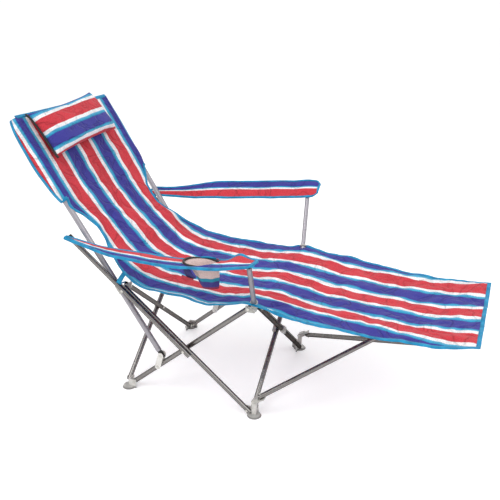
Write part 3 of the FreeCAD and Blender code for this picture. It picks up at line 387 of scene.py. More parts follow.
def woven_tape():
    """Rib-woven polyester edge tape: dense, slightly glossy, uneven in colour."""
    colours = settings().colours
    material, tree, shader = new_material("woven_tape")
    uv = add_node(tree, "ShaderNodeUVMap", uv_map="cloth")
    place = add_node(tree, "ShaderNodeSeparateXYZ", links={0: uv.outputs[0]})
    tint = add_node(tree, "ShaderNodeTexNoise", {"Scale": 28.0, "Detail": 3.0},
                    {"Vector": uv.outputs[0]})
    ramp = add_node(tree, "ShaderNodeValToRGB", {}, {0: tint.outputs["Fac"]})
    set_ramp(ramp, [(0.32, linear("07709C")), (0.5, linear(colours.tape)), (0.7, linear("1C9CCB"))])
    # ribs 1.6 mm apart, drawn coarser than the real 0.8 mm
    rib = add_node(tree, "ShaderNodeMath", {1: 2 * math.pi / 0.0016}, {0: place.outputs[1]},
                   operation="MULTIPLY")
    ribs = add_node(tree, "ShaderNodeMath", {}, {0: rib.outputs[0]}, operation="SINE")
    bump = add_node(tree, "ShaderNodeBump", {"Strength": 0.35, "Distance": 0.0004},
                    {"Height": ribs.outputs[0]})
    set_inputs(tree, shader, {"Roughness": 0.6, "Sheen Weight": 0.04, "Specular IOR Level": 0.3},
               {"Base Color": ramp.outputs[0], "Normal": bump.outputs[0]})
    return material


def grained(name, code, rough, grit, spread=0.12, metallic=0.0, lift=0.0002, rim=1.0):
    """Colour that varies by spread in patches, grain of grit millimetres, and a tint at the rim."""
    material, tree, shader = new_material(name)
    place = add_node(tree, "ShaderNodeTexCoord")
    grain = add_node(tree, "ShaderNodeTexNoise", {"Scale": 1000.0 / grit, "Detail": 4.0},
                     {"Vector": place.outputs["Object"]})
    patch = add_node(tree, "ShaderNodeTexNoise", {"Scale": 45.0, "Detail": 3.0},
                     {"Vector": place.outputs["Object"]})
    base = linear(code)
    dark = [c * (1 - spread) for c in base[:3]] + [1.0]
    light = [min(1.0, c * (1 + spread)) for c in base[:3]] + [1.0]
    ramp = add_node(tree, "ShaderNodeValToRGB", {}, {0: patch.outputs["Fac"]})
    set_ramp(ramp, [(0.3, dark), (0.5, base), (0.72, light)])
    gloss = add_node(tree, "ShaderNodeMapRange",
                     {"From Min": 0.3, "From Max": 0.7, "To Min": rough - 0.07,
                      "To Max": rough + 0.09}, {"Value": patch.outputs["Fac"]})
    bump = add_node(tree, "ShaderNodeBump", {"Strength": 0.3, "Distance": lift},
                    {"Height": grain.outputs["Fac"]})
    set_inputs(tree, shader, {"Metallic": metallic, "Specular Tint": (rim, rim, rim, 1)},
               {"Base Color": ramp.outputs[0], "Roughness": gloss.outputs[0],
                "Normal": bump.outputs[0]})
    return material


def silver_powder_coat():
    """Leg tube under a silver powder coat: satin, with a broad highlight and darker rims."""
    return grained("silver_powder_coat", settings().colours.steel, rough=0.24, grit=1.2,
                   spread=0.08, metallic=1.0, lift=0.00005, rim=0.12)


def powder_coat_painted_lighter():
    """Back and arm posts in the same silver powder coat, painted paler and less metallic as painted
    light, where the posts catch more light than the legs.
    """
    return grained("powder_coat_painted_lighter", "A09DA3", rough=0.32, grit=1.2, spread=0.06, metallic=0.5,
                   lift=0.00005, rim=0.15)


def zinc_plated_steel():
    """Zinc-plated rivets: bright, a little mottled."""
    return grained("zinc_plated_steel", "C9C7C1", rough=0.3, grit=0.9, spread=0.1, metallic=1.0,
                   lift=0.00008)


def moulded_grey_nylon():
    """Injection-moulded pale grey nylon: matt with a fine spark texture."""
    return grained("moulded_grey_nylon", "B7B5B0", rough=0.5, grit=0.7, spread=0.08)


def moulded_foot_nylon():
    """Injection-moulded feet in pale nylon: matt, scuffed, and darker towards the floor."""
    material = grained("moulded_foot_nylon", "CFCDC9", rough=0.45, grit=0.7, spread=0.2)
    tree = material.node_tree
    colour = tree.nodes["Principled BSDF"].inputs["Base Color"]
    undarkened = colour.links[0].from_socket
    place = add_node(tree, "ShaderNodeTexCoord")
    height = add_node(tree, "ShaderNodeSeparateXYZ", links={0: place.outputs["Object"]})
    # the colour darkens towards the floor, from about a centimetre above it
    floor_darkening = add_node(tree, "ShaderNodeMapRange",
                    {"From Min": 0.003, "From Max": 0.010, "To Min": 0.34, "To Max": 1.0},
                    {"Value": height.outputs[2]})
    darkened_near_floor = add_node(tree, "ShaderNodeVectorMath", {}, {0: undarkened, 1: floor_darkening.outputs[0]},
                      operation="MULTIPLY")
    tree.links.new(darkened_near_floor.outputs[0], colour)
    return material


def pale_lacquered_steel():
    """Pressed steel plates under a pale lacquer: smooth and a little glossy."""
    return grained("pale_lacquered_steel", "E4E2DD", rough=0.34, grit=1.0, spread=0.06)


def moulded_black_vinyl():
    """Dipped black vinyl caps: soft sheen."""
    return grained("moulded_black_vinyl", "1D1B1B", rough=0.45, grit=0.8, spread=0.2)


def black_webbing():
    """Woven strap webbing: dull black, a little mottled."""
    return grained("black_webbing", "1F1B1D", rough=0.7, grit=0.8, spread=0.2)


def black_piping():
    """Black piping sewn round the cup's wire: soft, with a faint shine."""
    return grained("black_piping", "241E1C", rough=0.5, grit=1.0, spread=0.2)


def navy_tape():
    """Navy cotton tape: flat and uneven in colour."""
    return grained("navy_tape", "2B2A66", rough=0.75, grit=0.9, spread=0.25)


def red_tape():
    """Red cotton tape: flat and uneven in colour."""
    return grained("red_tape", "A82C3A", rough=0.75, grit=0.9, spread=0.2)


def knitted_pocket_cloth():
    """Cup pocket: open pale mesh above, a teal tape band, and navy cloth below."""
    material, tree, shader = new_material("knitted_pocket_cloth")
    uv = add_node(tree, "ShaderNodeUVMap", uv_map="cloth")
    place = add_node(tree, "ShaderNodeSeparateXYZ", links={0: uv.outputs[0]})
    bands = add_node(tree, "ShaderNodeValToRGB", {}, {0: place.outputs[1]})
    mesh, teal, navy = linear("D0B7B3"), linear("1B7F98"), linear("332C72")
    set_ramp(bands, [(0.0, mesh), (0.44, mesh), (0.46, teal), (0.58, teal), (0.60, navy),
                     (0.80, navy), (0.84, linear("7A2340"))])
    holes = add_node(tree, "ShaderNodeTexVoronoi", {"Scale": 210.0}, {"Vector": uv.outputs[0]})
    shade = add_node(tree, "ShaderNodeMapRange",
                     {"From Min": 0.0, "From Max": 0.6, "To Min": 0.55, "To Max": 1.15},
                     {"Value": holes.outputs["Distance"]})
    colour = add_node(tree, "ShaderNodeVectorMath", {},
                      {0: bands.outputs[0], 1: shade.outputs[0]}, operation="MULTIPLY")
    bump = add_node(tree, "ShaderNodeBump", {"Strength": 0.5, "Distance": 0.0006},
                    {"Height": holes.outputs["Distance"]})
    set_inputs(tree, shader, {"Roughness": 0.85},
               {"Base Color": colour.outputs[0], "Normal": bump.outputs[0]})
    return material


# Mesh helpers.
def new_piece(name, points, faces, uvs, material):
    """Mesh object from points, faces and one UV pair per point."""
    mesh = bpy.data.meshes.new(name)
    mesh.from_pydata([tuple(p) for p in points], [], faces)
    layer = mesh.uv_layers.new(name="cloth")
    loop_points = np.zeros(len(mesh.loops), int)
    mesh.loops.foreach_get("vertex_index", loop_points)
    layer.data.foreach_set("uv", np.array(uvs, float)[loop_points].ravel())
    mesh.polygons.foreach_set("use_smooth", [True] * len(mesh.polygons))
    mesh.materials.append(material)
    piece = bpy.data.objects.new(name, mesh)
    bpy.context.scene.collection.objects.link(piece)
    return piece


def grid_faces(rows, columns, offset=0, flip=False):
    """Quads of a grid of points laid out row by row."""
    faces = []
    for i in range(rows - 1):
        for j in range(columns - 1):
            a = offset + i * columns + j
            quad = (a, a + columns, a + columns + 1, a + 1)
            faces.append(quad[::-1] if flip else quad)
    return faces


def spline(places, values, at):
    """Smooth curve through values at places (cubic pieces with matching slopes)."""
    places, values, at = np.array(places), np.array(values, float), np.array(at)
    step = np.diff(places)
    slope = np.diff(values) / step
    tangent = np.zeros(len(places))
    tangent[0], tangent[-1] = slope[0], slope[-1]
    before, after = step[:-1], step[1:]
    tangent[1:-1] = (slope[:-1] * after + slope[1:] * before) / (before + after)
    k = np.clip(np.searchsorted(places, at, side="right") - 1, 0, len(step) - 1)
    h = step[k]
    t = (at - places[k]) / h
    return (values[k] * (2 * t ** 3 - 3 * t ** 2 + 1) + h * tangent[k] * (t ** 3 - 2 * t ** 2 + t)
            + values[k + 1] * (3 * t ** 2 - 2 * t ** 3) + h * tangent[k + 1] * (t ** 3 - t ** 2))


def ripple(x, y, seed):
    """Smooth noise from -1 to 1."""
    return noise.noise(Vector((x, y, seed)))


def sweep(name, path, profile, material, closed=False):
    """Tube along a path of (point, sideways, upward), with a profile of (side, up) pairs."""
    points, uvs = [], []
    count = len(profile)
    run = 0.0
    for i, (point, side, up) in enumerate(path):
        if i:
            run += (point - path[i - 1][0]).length
        for j, (a, b) in enumerate(profile):
            points.append(point + side * a + up * b)
            uvs.append((j / count * SWEPT_WIDTH, run))
    faces = []
    rows = len(path)
    for i in range(rows if closed else rows - 1):
        for j in range(count):
            a = i * count + j
            b = i * count + (j + 1) % count
            c = (i + 1) % rows * count + (j + 1) % count
            d = (i + 1) % rows * count + j
            faces.append((a, b, c, d))
    if not closed:
        faces.append(tuple(range(count))[::-1])
        faces.append(tuple(range((rows - 1) * count, rows * count)))
    return new_piece(name, points, faces, uvs, material)


def join(name, pieces):
    """Several meshes as one piece."""
    first = pieces[0]
    if len(pieces) > 1:
        with bpy.context.temp_override(active_object=first, object=first,
                                       selected_editable_objects=pieces, selected_objects=pieces):
            bpy.ops.object.join()
    first.name = first.data.name = name
    return first


def tape_profile():
    """Folded tape round a cloth edge: wide faces on both sides, rounded at the fold."""
    reach = settings().cloth.tape
    half = settings().cloth.thickness / 2 + TAPE_THICKNESS
    return [(reach, half * 0.7), (reach * 0.5, half * 1.05), (0.0005, half), (-0.0014, half * 0.55),
            (-0.0018, 0.0), (-0.0014, -half * 0.55), (0.0005, -half), (reach * 0.5, -half * 1.05),
            (reach, -half * 0.7)]


def bake_modifiers(piece):
    """Apply every modifier of a piece to its mesh."""
    graph = bpy.context.evaluated_depsgraph_get()
    mesh = bpy.data.meshes.new_from_object(piece.evaluated_get(graph))
    piece.modifiers.clear()
    piece.data = mesh


def weld(piece, distance):
    """Merge points closer than distance and turn all faces outward."""
    work = bmesh.new()
    work.from_mesh(piece.data)
    bmesh.ops.remove_doubles(work, verts=work.verts, dist=distance)
    bmesh.ops.recalc_face_normals(work, faces=work.faces)
    work.to_mesh(piece.data)
    work.free()


def drop_loose(mesh):
    """Delete points that no face uses."""
    work = bmesh.new()
    work.from_mesh(mesh)
    loose = [v for v in work.verts if not v.link_faces]
    bmesh.ops.delete(work, geom=loose, context="VERTS")
    work.to_mesh(mesh)
    work.free()


def two_sided(name, middle, offset, upper, uvs, material):
    """Sheet with an upper and a lower face, offset from its middle, and a rim along open edges."""
    total = len(middle)
    both = np.concatenate([middle + offset, middle - offset])
    edges = dict.fromkeys((a, b) for f in upper for a, b in zip(f, f[1:] + f[:1]))
    faces = upper + [tuple(v + total for v in f[::-1]) for f in upper]
    faces += [(b, a, a + total, b + total) for a, b in edges if (b, a) not in edges]
    piece = new_piece(name, both, faces, np.concatenate([uvs, uvs]), material)
    used = np.unique(np.concatenate([np.array(f) for f in faces]))
    if len(used) < len(both):
        drop_loose(piece.data)
    return piece, used


def run_lengths(points):
    """Distance along a line of points, at each of them."""
    return np.concatenate([[0.0], np.cumsum(np.linalg.norm(np.diff(points, axis=0), axis=1))])


def grid_normals(points):
    """Unit normals of a grid of points."""
    normal = np.cross(np.gradient(points, axis=0), np.gradient(points, axis=1))
    return normal / np.linalg.norm(normal, axis=2)[:, :, None]


def hem_path(points, inner, normals):
    """Path along an edge: each point, the direction to the point inside it, and its normal."""
    return [(Vector(p), (Vector(q) - Vector(p)).normalized(), Vector(n))
            for p, q, n in zip(points, inner, normals)]


def node_points(label):
    """Points of a solid's mesh."""
    return np.array([v.co for v in frame["nodes"][label].data.vertices])


def arm_hole_axes():
    """Base and direction of each arm post, which comes up through the sling."""
    axes = []
    for side in (NEAR, FAR):
        low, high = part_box(f"{SIDE_NAME[side]}_arm_post")
        points = node_points(f"{SIDE_NAME[side]}_arm_post")
        foot = points[points[:, 2] < low.z + END_SLICE].mean(0)
        top = points[points[:, 2] > high.z - END_SLICE].mean(0)
        axes.append((foot, (top - foot) / np.linalg.norm(top - foot)))
    return axes


# The sling as one continuous sheet.
class SlingSurface:
    """Points, normals and cloth coordinates of the whole sling on one grid."""

    def __init__(self):
        cloth = settings().cloth
        names = [s[0] for s in SLING]
        data = np.array([s[1:] for s in SLING])
        marks = run_lengths(data[:, :2])
        self.breaks = {}
        runs = []
        for label, first, last, _ in PANELS:
            low, high = marks[names.index(first)], marks[names.index(last)]
            count = max(3, int(round((high - low) / cloth.step)))
            start = sum(len(r) for r in runs) - (1 if runs else 0)
            self.breaks[label] = (start, start + count)
            part = np.linspace(low, high, count + 1)
            runs.append(part[1:] if runs else part)
        self.run = np.concatenate(runs)
        x, z, near, half, sag, hem, right, left = (
            spline(marks, values, self.run) for values in data.T)
        tangent = np.stack([np.gradient(x, self.run), np.gradient(z, self.run)], 1)
        tangent /= np.linalg.norm(tangent, axis=1)[:, None]
        self.facing = np.stack([-tangent[:, 1], np.zeros(len(x)), tangent[:, 0]], 1)
        self.half = (half + near) / 2
        self.x, self.z = x, z
        # columns lie a little closer together at the edges
        spread = np.linspace(-1, 1, cloth.columns + 1)
        self.spread = np.sign(spread) * (1 - (1 - np.abs(spread)) ** 1.12)
        reach = np.where(self.spread[None, :] < 0, near[:, None], half[:, None])
        self.across = reach * self.spread[None, :]
        edge = np.abs(self.spread)[None, :]
        laid = np.where(self.spread[None, :] < 0, right[:, None], left[:, None])
        # the stripes are squeezed or spread only near the edges
        self.woven = self.across + np.sign(self.spread)[None, :] * (laid - reach) * edge ** 3
        lift = -sag[:, None] * (1 - edge ** 2)
        # the right hem of the footrest rolls over its last third
        rolled = np.clip((edge - 0.68) / 0.32, 0, 1) * (self.spread[None, :] < 0)
        roll = 0.9 * np.sin(np.pi * rolled) * (1 - rolled) - rolled ** 2
        lift = lift + hem[:, None] * roll + self.wrinkles()
        middle = np.stack([x, np.zeros(len(x)), z], 1)
        self.points = (middle[:, None, :] + self.facing[:, None, :] * lift[:, :, None]
                       + np.array([0, 1, 0]) * self.across[:, :, None])
        self.normals = grid_normals(self.points)

    def wrinkles(self):
        """Height of the folds: broad waves, slanting creases and a fluttering edge."""
        rows, columns = len(self.run), len(self.spread)
        lift = np.zeros((rows, columns))
        for i in range(rows):
            s = self.run[i]
            # taut at the head and loose from half a metre below it
            held = min(1.0, 0.25 + max(0.0, s - 0.10) / 0.5)
            for j in range(columns):
                y = self.across[i, j]
                edge = abs(self.spread[j])
                free = 1 - max(0.0, edge - 0.75) / 0.25 * (1.0 if s < SLEEVED_RUN else 0.25)
                wave = WAVE * ripple(s * 7.0, y * 9.0, 1.0)
                crease = SLANT_CREASE * ripple(s * 15.0 + y * 10.0, y * 20.0 - s * 4.0, 5.0)
                crease += FINE_CREASE * ripple(s * 34.0 - y * 20.0, y * 40.0 + s * 9.0, 12.0)
                flutter = FLUTTER * edge ** 6 * ripple(s * 11.0, self.spread[j] * 2.0, 9.0)
                lift[i, j] = held * (free * (wave + crease) + (flutter if s > SLEEVED_RUN else 0.0))
        return lift


SURFACE = {}


def surface():
    """The sling's grid, made once."""
    if "sling" not in SURFACE:
        SURFACE["sling"] = SlingSurface()
    return SURFACE["sling"]


def panel_mesh(label, material):
    """One panel of the sling: upper face, lower face and a rim, with holes for the arm posts."""
    sling = surface()
    first, last = sling.breaks[label]
    rows = slice(first, last + 1)
    points, normals = sling.points[rows].copy(), sling.normals[rows]
    count, columns = points.shape[:2]
    flat = points.reshape(-1, 3)
    inside = np.zeros(len(flat), bool)
    if label in ("seat_front_panel", "footrest_inner_panel"):
        for foot, along in arm_hole_axes():
            gap = flat - foot
            off = gap - np.outer(gap @ along, along)
            distance = np.linalg.norm(off, axis=1)
            close = distance < ARM_HOLE
            inside |= close
            out = off[close] / np.maximum(distance[close], 1e-6)[:, None]
            flat[close] += out * (ARM_HOLE - distance[close])[:, None]
    normal = normals.reshape(-1, 3)
    upper = [f for f in grid_faces(count, columns) if not all(inside[v] for v in f)]
    uv = np.stack([sling.woven[rows].ravel(), np.repeat(sling.run[rows], columns)], 1)
    half = settings().cloth.thickness / 2
    piece, used = two_sided(label + "_cloth", flat, normal * half, upper, uv, material)
    all_normals = np.concatenate([normal, -normal])[used]
    piece.data.normals_split_custom_set_from_vertices([tuple(n) for n in all_normals])
    return piece


def edge_path(label, column):
    """Path along one side edge of a panel: point, inward direction and normal."""
    sling = surface()
    first, last = sling.breaks[label]
    rows = slice(first, last + 1)
    inner = 3 if column == 0 else -4
    return hem_path(sling.points[rows, column], sling.points[rows, inner],
                    sling.normals[rows, column])


def end_path(row):
    """Path along the head or toe edge of the sling."""
    sling = surface()
    inner = 3 if row == 0 else -4
    return hem_path(sling.points[row], sling.points[inner], sling.normals[row])


def flat_size(label):
    """Largest width, length and area of a panel laid flat."""
    sling = surface()
    first, last = sling.breaks[label]
    width = float(2 * sling.half[first:last + 1].max())
    length = float(sling.run[last] - sling.run[first])
    area = float(np.trapz(2 * sling.half[first:last + 1], sling.run[first:last + 1]))
    return width, length, min(area, width * length)


class LOUNGER_OT_sling(bpy.types.Operator):
    """Make the six panels of the sling with their edge tapes"""

    bl_idname = "lounger.sling"
    bl_label = "Sling"

    def execute(self, context):
        cloth, tape = striped_polyester(), woven_tape()
        for label, first, last, body in PANELS:
            panel = panel_mesh(label, cloth)
            tapes = []
            if label != "back_upper_panel":
                tapes += [sweep(f"{label}_tape_{k}", edge_path(label, k), tape_profile(), tape)
                          for k in (0, -1)]
            if first == "head":
                tapes.append(sweep("head_tape", end_path(0), tape_profile(), tape))
            if last == "toe":
                tapes.append(sweep("toe_tape", end_path(-1), tape_profile(), tape))
            binding = join(f"{label}_binding", tapes)
            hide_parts(label)
            for piece, slot in ((panel, "striped_cloth"), (binding, "binding_tape")):
                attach(piece, body)
                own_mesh(piece)
            width, length, area = flat_size(label)
        return {"FINISHED"}


def post_axis(side):
    """Foot and direction of a back post."""
    points = node_points(f"{SIDE_NAME[side]}_back_post")
    middle = points.mean(0)
    along = np.linalg.svd(points - middle, full_matrices=False)[2][0]
    along = along if along[2] > 0 else -along
    reach = (points - middle) @ along
    return Vector(middle + along * reach.min()), Vector(along)


class LOUNGER_OT_sleeves(bpy.types.Operator):
    """Make the sleeves that hold the upper back on the posts"""

    bl_idname = "lounger.sleeves"
    bl_label = "Sleeves"

    def execute(self, context):
        cloth, tape = striped_polyester(), woven_tape()
        sling = surface()
        first, last = sling.breaks["back_upper_panel"]
        for side in (NEAR, FAR):
            foot, along = post_axis(side)
            name = SIDE_NAME[side]
            facing = Vector(sling.facing[first]).normalized()
            out = (facing.cross(along) * -side).normalized()
            if out.y * side < 0:
                out = -out
            turns = np.radians(np.linspace(*SLEEVE_TURNS, 26))
            points, uvs, hem = [], [], []
            for i in range(first, last + 1):
                level = Vector((sling.x[i], 0, sling.z[i]))
                centre = foot + along * ((level - foot).dot(along))
                share = (i - first) / (last - first)
                puff = SLEEVE_EASE * math.sin(math.pi * share) ** 0.7
                puff *= 1 + 0.25 * ripple(sling.run[i] * 14.0, side, 3.0)
                row, reach = [], SLEEVE_START
                for t in turns:
                    # loosest on the outer side, a little towards the rear
                    bulge = max(0.0, math.cos(t + 0.6)) ** 1.5
                    ray = out * math.cos(t) + facing * math.sin(t)
                    row.append(centre + ray * (SLEEVE_RADIUS + puff * bulge))
                back = (out * math.sin(turns[-1]) - facing * math.cos(turns[-1])).normalized()
                row += [row[-1] + back * d for d in SLEEVE_TAIL]
                for k, p in enumerate(row):
                    if k:
                        reach += (p - row[k - 1]).length * SLEEVE_STRETCH
                    points.append(p)
                    uvs.append((side * reach, sling.run[i]))
                hem.append((row[-1], (row[-2] - row[-1]).normalized(),
                            (row[-1] - row[-2]).cross(along).normalized()))
            count, columns = last - first + 1, len(turns) + len(SLEEVE_TAIL)
            sheet = new_piece(f"{name}_sleeve_cloth", points,
                              grid_faces(count, columns, flip=side == NEAR), uvs, cloth)
            solid = sheet.modifiers.new("thickness", "SOLIDIFY")
            solid.thickness, solid.offset = settings().cloth.thickness, 0.0
            bake_modifiers(sheet)
            end = []
            for point in points[(count - 1) * columns:]:
                axis = foot + along * (point - foot).dot(along)
                end.append((point, along, (point - axis).normalized()))
            wide_tape = [(a * SLEEVE_HEM, b) for a, b in tape_profile()]
            hems = join(f"{name}_sleeve_binding",
                        [sweep(f"{name}_sleeve_hem", hem, wide_tape, tape),
                         sweep(f"{name}_sleeve_end", end, tape_profile(), tape)])
            for piece, slot in ((sheet, "striped_cloth"), (hems, "binding_tape")):
                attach(piece, f"{name}_back_post")
        return {"FINISHED"}


def swell_cloth(piece, limit):
    """Blow the cover up as cloth for a few frames; no point moves further than the limit."""
    rest = np.array([v.co for v in piece.data.vertices])
    scene = bpy.context.scene
    cloth = piece.modifiers.new("cloth", "CLOTH")
    cloth.settings.quality = 6
    cloth.settings.use_pressure = True
    cloth.settings.uniform_pressure_force = 3.0
    cloth.settings.tension_stiffness = 30
    cloth.settings.bending_stiffness = 0.6
    cloth.settings.effector_weights.gravity = 0
    cloth.point_cache.frame_start, cloth.point_cache.frame_end = 1, 20
    for step in range(1, 21):
        scene.frame_set(step)
    graph = bpy.context.evaluated_depsgraph_get()
    shape = piece.evaluated_get(graph)
    moved = np.array([v.co for v in shape.data.vertices])
    piece.modifiers.remove(cloth)
    scene.frame_set(1)
    travel = moved - rest
    span = np.linalg.norm(travel, axis=1)
    moved = rest + travel * np.minimum(1.0, limit / np.maximum(span, 1e-9))[:, None]
    piece.data.vertices.foreach_set("co", moved.astype(np.float32).ravel())
    piece.data.update()


class LOUNGER_OT_pillow(bpy.types.Operator):
    """Make the stuffed head pillow and swell it with air pressure"""

    bl_idname = "lounger.pillow"
    bl_label = "Pillow"

    def execute(self, context):
        low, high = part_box("pillow")
        sling = surface()
        facing = Vector(sling.facing[2]).normalized()
        upward = facing.cross(AXIS_Y).normalized()
        if upward.z < 0:
            upward = -upward
        middle = Vector((low + high) / 2)
        spread = (node_points("pillow") - np.array(middle)) @ np.array(facing)
        base = middle + facing * float(spread.min())
        across, down = 64, 34
        verts, uvs = [], []
        for face in (1, -1):
            for i in range(down + 1):
                for j in range(across + 1):
                    u, v = 2 * j / across - 1, 2 * i / down - 1
                    # full in the middle, drawn in along the seams, fuller towards the lower edge
                    swell = (1 - u ** 4) * (1 - v ** 4)
                    inset = 1 - 0.05 * (1 - v * v) * abs(u) ** 3 - 0.05 * (1 - u * u) * abs(v) ** 3
                    height = PILLOW_CROWN * swell ** 0.55 * (1 + 0.22 * v if face > 0 else -0.2)
                    height += 0.014 * max(0.0, v) ** 3
                    verts.append((u * PILLOW_LENGTH / 2 * inset, -v * PILLOW_DEPTH / 2 * inset,
                                  height))
                    stripe = PILLOW_TOP + (v + 1) / 2 * PILLOW_SPAN if face > 0 else PILLOW_UNDER
                    uvs.append((stripe, u * PILLOW_LENGTH / 2))
        faces = grid_faces(down + 1, across + 1)
        faces += grid_faces(down + 1, across + 1, offset=len(verts) // 2, flip=True)
        pillow = new_piece("pillow_cover", verts, faces, uvs, striped_polyester())
        weld(pillow, 0.0004)
        swell_cloth(pillow, SWELL_LIMIT)
        smooth = pillow.modifiers.new("smooth", "SUBSURF")
        smooth.levels = smooth.render_levels = 1
        bake_modifiers(pillow)
        tilt = Matrix.Rotation(PILLOW_TILT, 4, "Z")
        turn = Matrix((AXIS_Y, upward, facing)).transposed().to_4x4()
        placing = Matrix.Translation(base + facing * PILLOW_LIFT) @ turn @ tilt
        pillow.data.transform(placing)
        for vertex in pillow.data.vertices:
            point = vertex.co
            fold = ripple(point.y * 14.0, point.z * 22.0, 7.0) * PILLOW_CREASE
            vertex.co = point + facing * fold
        # the strap follows the pillow's right end from its upper to its lower edge
        strap = []
        for v in np.linspace(1.0, -1.02, 25):
            rise = 0.005 * max(0.0, 1 - v ** 4) + 0.003 + 0.012 * max(0.0, -v) ** 3
            inset = 0.955 + 0.045 * v * v
            place = Vector((-PILLOW_LENGTH / 2 * inset, v * PILLOW_DEPTH / 2, rise))
            strap.append((placing @ place, -AXIS_Y, facing))
        band = sweep("pillow_strap", strap, [(-0.004, 0.001), (0.0, 0.0022), (0.004, 0.001),
                                             (0.005, -0.001), (0.0, -0.002), (-0.005, -0.001)],
                     black_webbing())
        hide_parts("pillow")
        for piece, slot in ((band, "binding_tape"), (pillow, "pillow_cloth")):
            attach(piece, "right_back_post")
            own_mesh(piece)
        return {"FINISHED"}


def cup_ring():
    """Centre and outer radius of the cup's rim, which the cloth pinches to an oval."""
    low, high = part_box("cup_rim")
    return (low + high) / 2, (high.x - low.x) / 2


def make_armrest(side, end, cloth, tape):
    """One half of an armrest with its edge tape, and with the cup's hole at the front right."""
    name = SIDE_NAME[side]
    stations = ARM_LINE[side]
    data = np.array([s[1:] for s in stations])
    marks = run_lengths(data[:, :3])
    split = marks[[s[0] for s in stations].index("both")]
    low, high = (0.0, split) if end == "rear" else (split, marks[-1])
    at = np.linspace(low, high, int((high - low) / ARM_STEP) + 1)
    x, out, z, half = (spline(marks, values, at) for values in data.T)
    across = np.array([0, side * math.cos(ARM_ROLL[side]), math.sin(ARM_ROLL[side])])
    upward = np.array([0, -side * math.sin(ARM_ROLL[side]), math.cos(ARM_ROLL[side])])
    spread = np.linspace(-1, 1, 25)
    points = np.zeros((len(at), len(spread), 3))
    uvs = np.zeros((len(at), len(spread), 2))
    for i in range(len(at)):
        for j, v in enumerate(spread):
            lift = ARM_CROWN * (1 - v * v)
            lift += ARM_WAVE * ripple(at[i] * 13.0, v * 1.4 + side, 2.0)
            lift += ARM_CREASE * ripple(at[i] * 34.0 + v * 2.0, v * 3.0, 6.0 + side)
            if side == NEAR:
                near_pucker = math.exp(-((x[i] - PUCKER_PLACE) / PUCKER_LENGTH) ** 2)
                lift += PUCKER * near_pucker * max(0.0, 0.25 - v)
            points[i, j] = (np.array([x[i], side * out[i], z[i]]) + across * (half[i] * v)
                            + upward * lift)
            uvs[i, j] = (np.interp((1 - v) / 2, ARM_SHARES[side], ARM_WEAVE), at[i])
    normal = grid_normals(points) * side
    rows, columns = points.shape[:2]
    flat, normals = points.reshape(-1, 3), normal.reshape(-1, 3)
    inside = np.zeros(len(flat), bool)
    if side == NEAR and end == "front":
        centre, radius = cup_ring()
        gap = (flat[:, :2] - np.array(centre)[:2]) / np.array([1, CUP_PINCH])
        distance = np.linalg.norm(gap, axis=1)
        inside = distance < radius
        push = gap[inside] / np.maximum(distance[inside], 1e-6)[:, None] * (
            radius - distance[inside])[:, None]
        flat[inside, :2] += push * np.array([1, CUP_PINCH])
    upper = [f for f in grid_faces(rows, columns, flip=side == NEAR)
             if not all(inside[v] for v in f)]
    label = f"{name}_armrest_{end}"
    piece, _ = two_sided(label + "_cloth", flat, normals * ARM_CLOTH, upper, uvs.reshape(-1, 2),
                         cloth)
    weld(piece, 0.00002)
    # the tape runs along one side, round the tip and back along the other side
    sides = [hem_path(points[:, 0], points[:, 3], normal[:, 0]),
             hem_path(points[:, -1], points[:, -4], normal[:, -1])]
    if end == "rear":
        path = sides[0][::-1] + hem_path(points[0], points[3], normal[0])[1:-1] + sides[1]
    else:
        path = sides[0] + hem_path(points[-1], points[-4], normal[-1])[1:-1] + sides[1][::-1]
    # the right arm's tape reaches further over the cloth
    grip = 1.1 if side == NEAR else 0.65
    hem = sweep(label + "_binding", path, [(a * grip, b * 1.9) for a, b in tape_profile()], tape)
    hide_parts(label)
    for made, slot in ((piece, "striped_cloth"), (hem, "binding_tape")):
        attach(made, label)
    area = float(np.trapz(2 * half, at))
    if inside.any():
        area -= math.pi * cup_ring()[1] ** 2 * 0.9


class LOUNGER_OT_armrests(bpy.types.Operator):
    """Make the cloth armrests with their edge tapes"""

    bl_idname = "lounger.armrests"
    bl_label = "Armrests"

    def execute(self, context):
        cloth, tape = striped_polyester(), woven_tape()
        for side in (NEAR, FAR):
            for end in ("rear", "front"):
                make_armrest(side, end, cloth, tape)
        return {"FINISHED"}


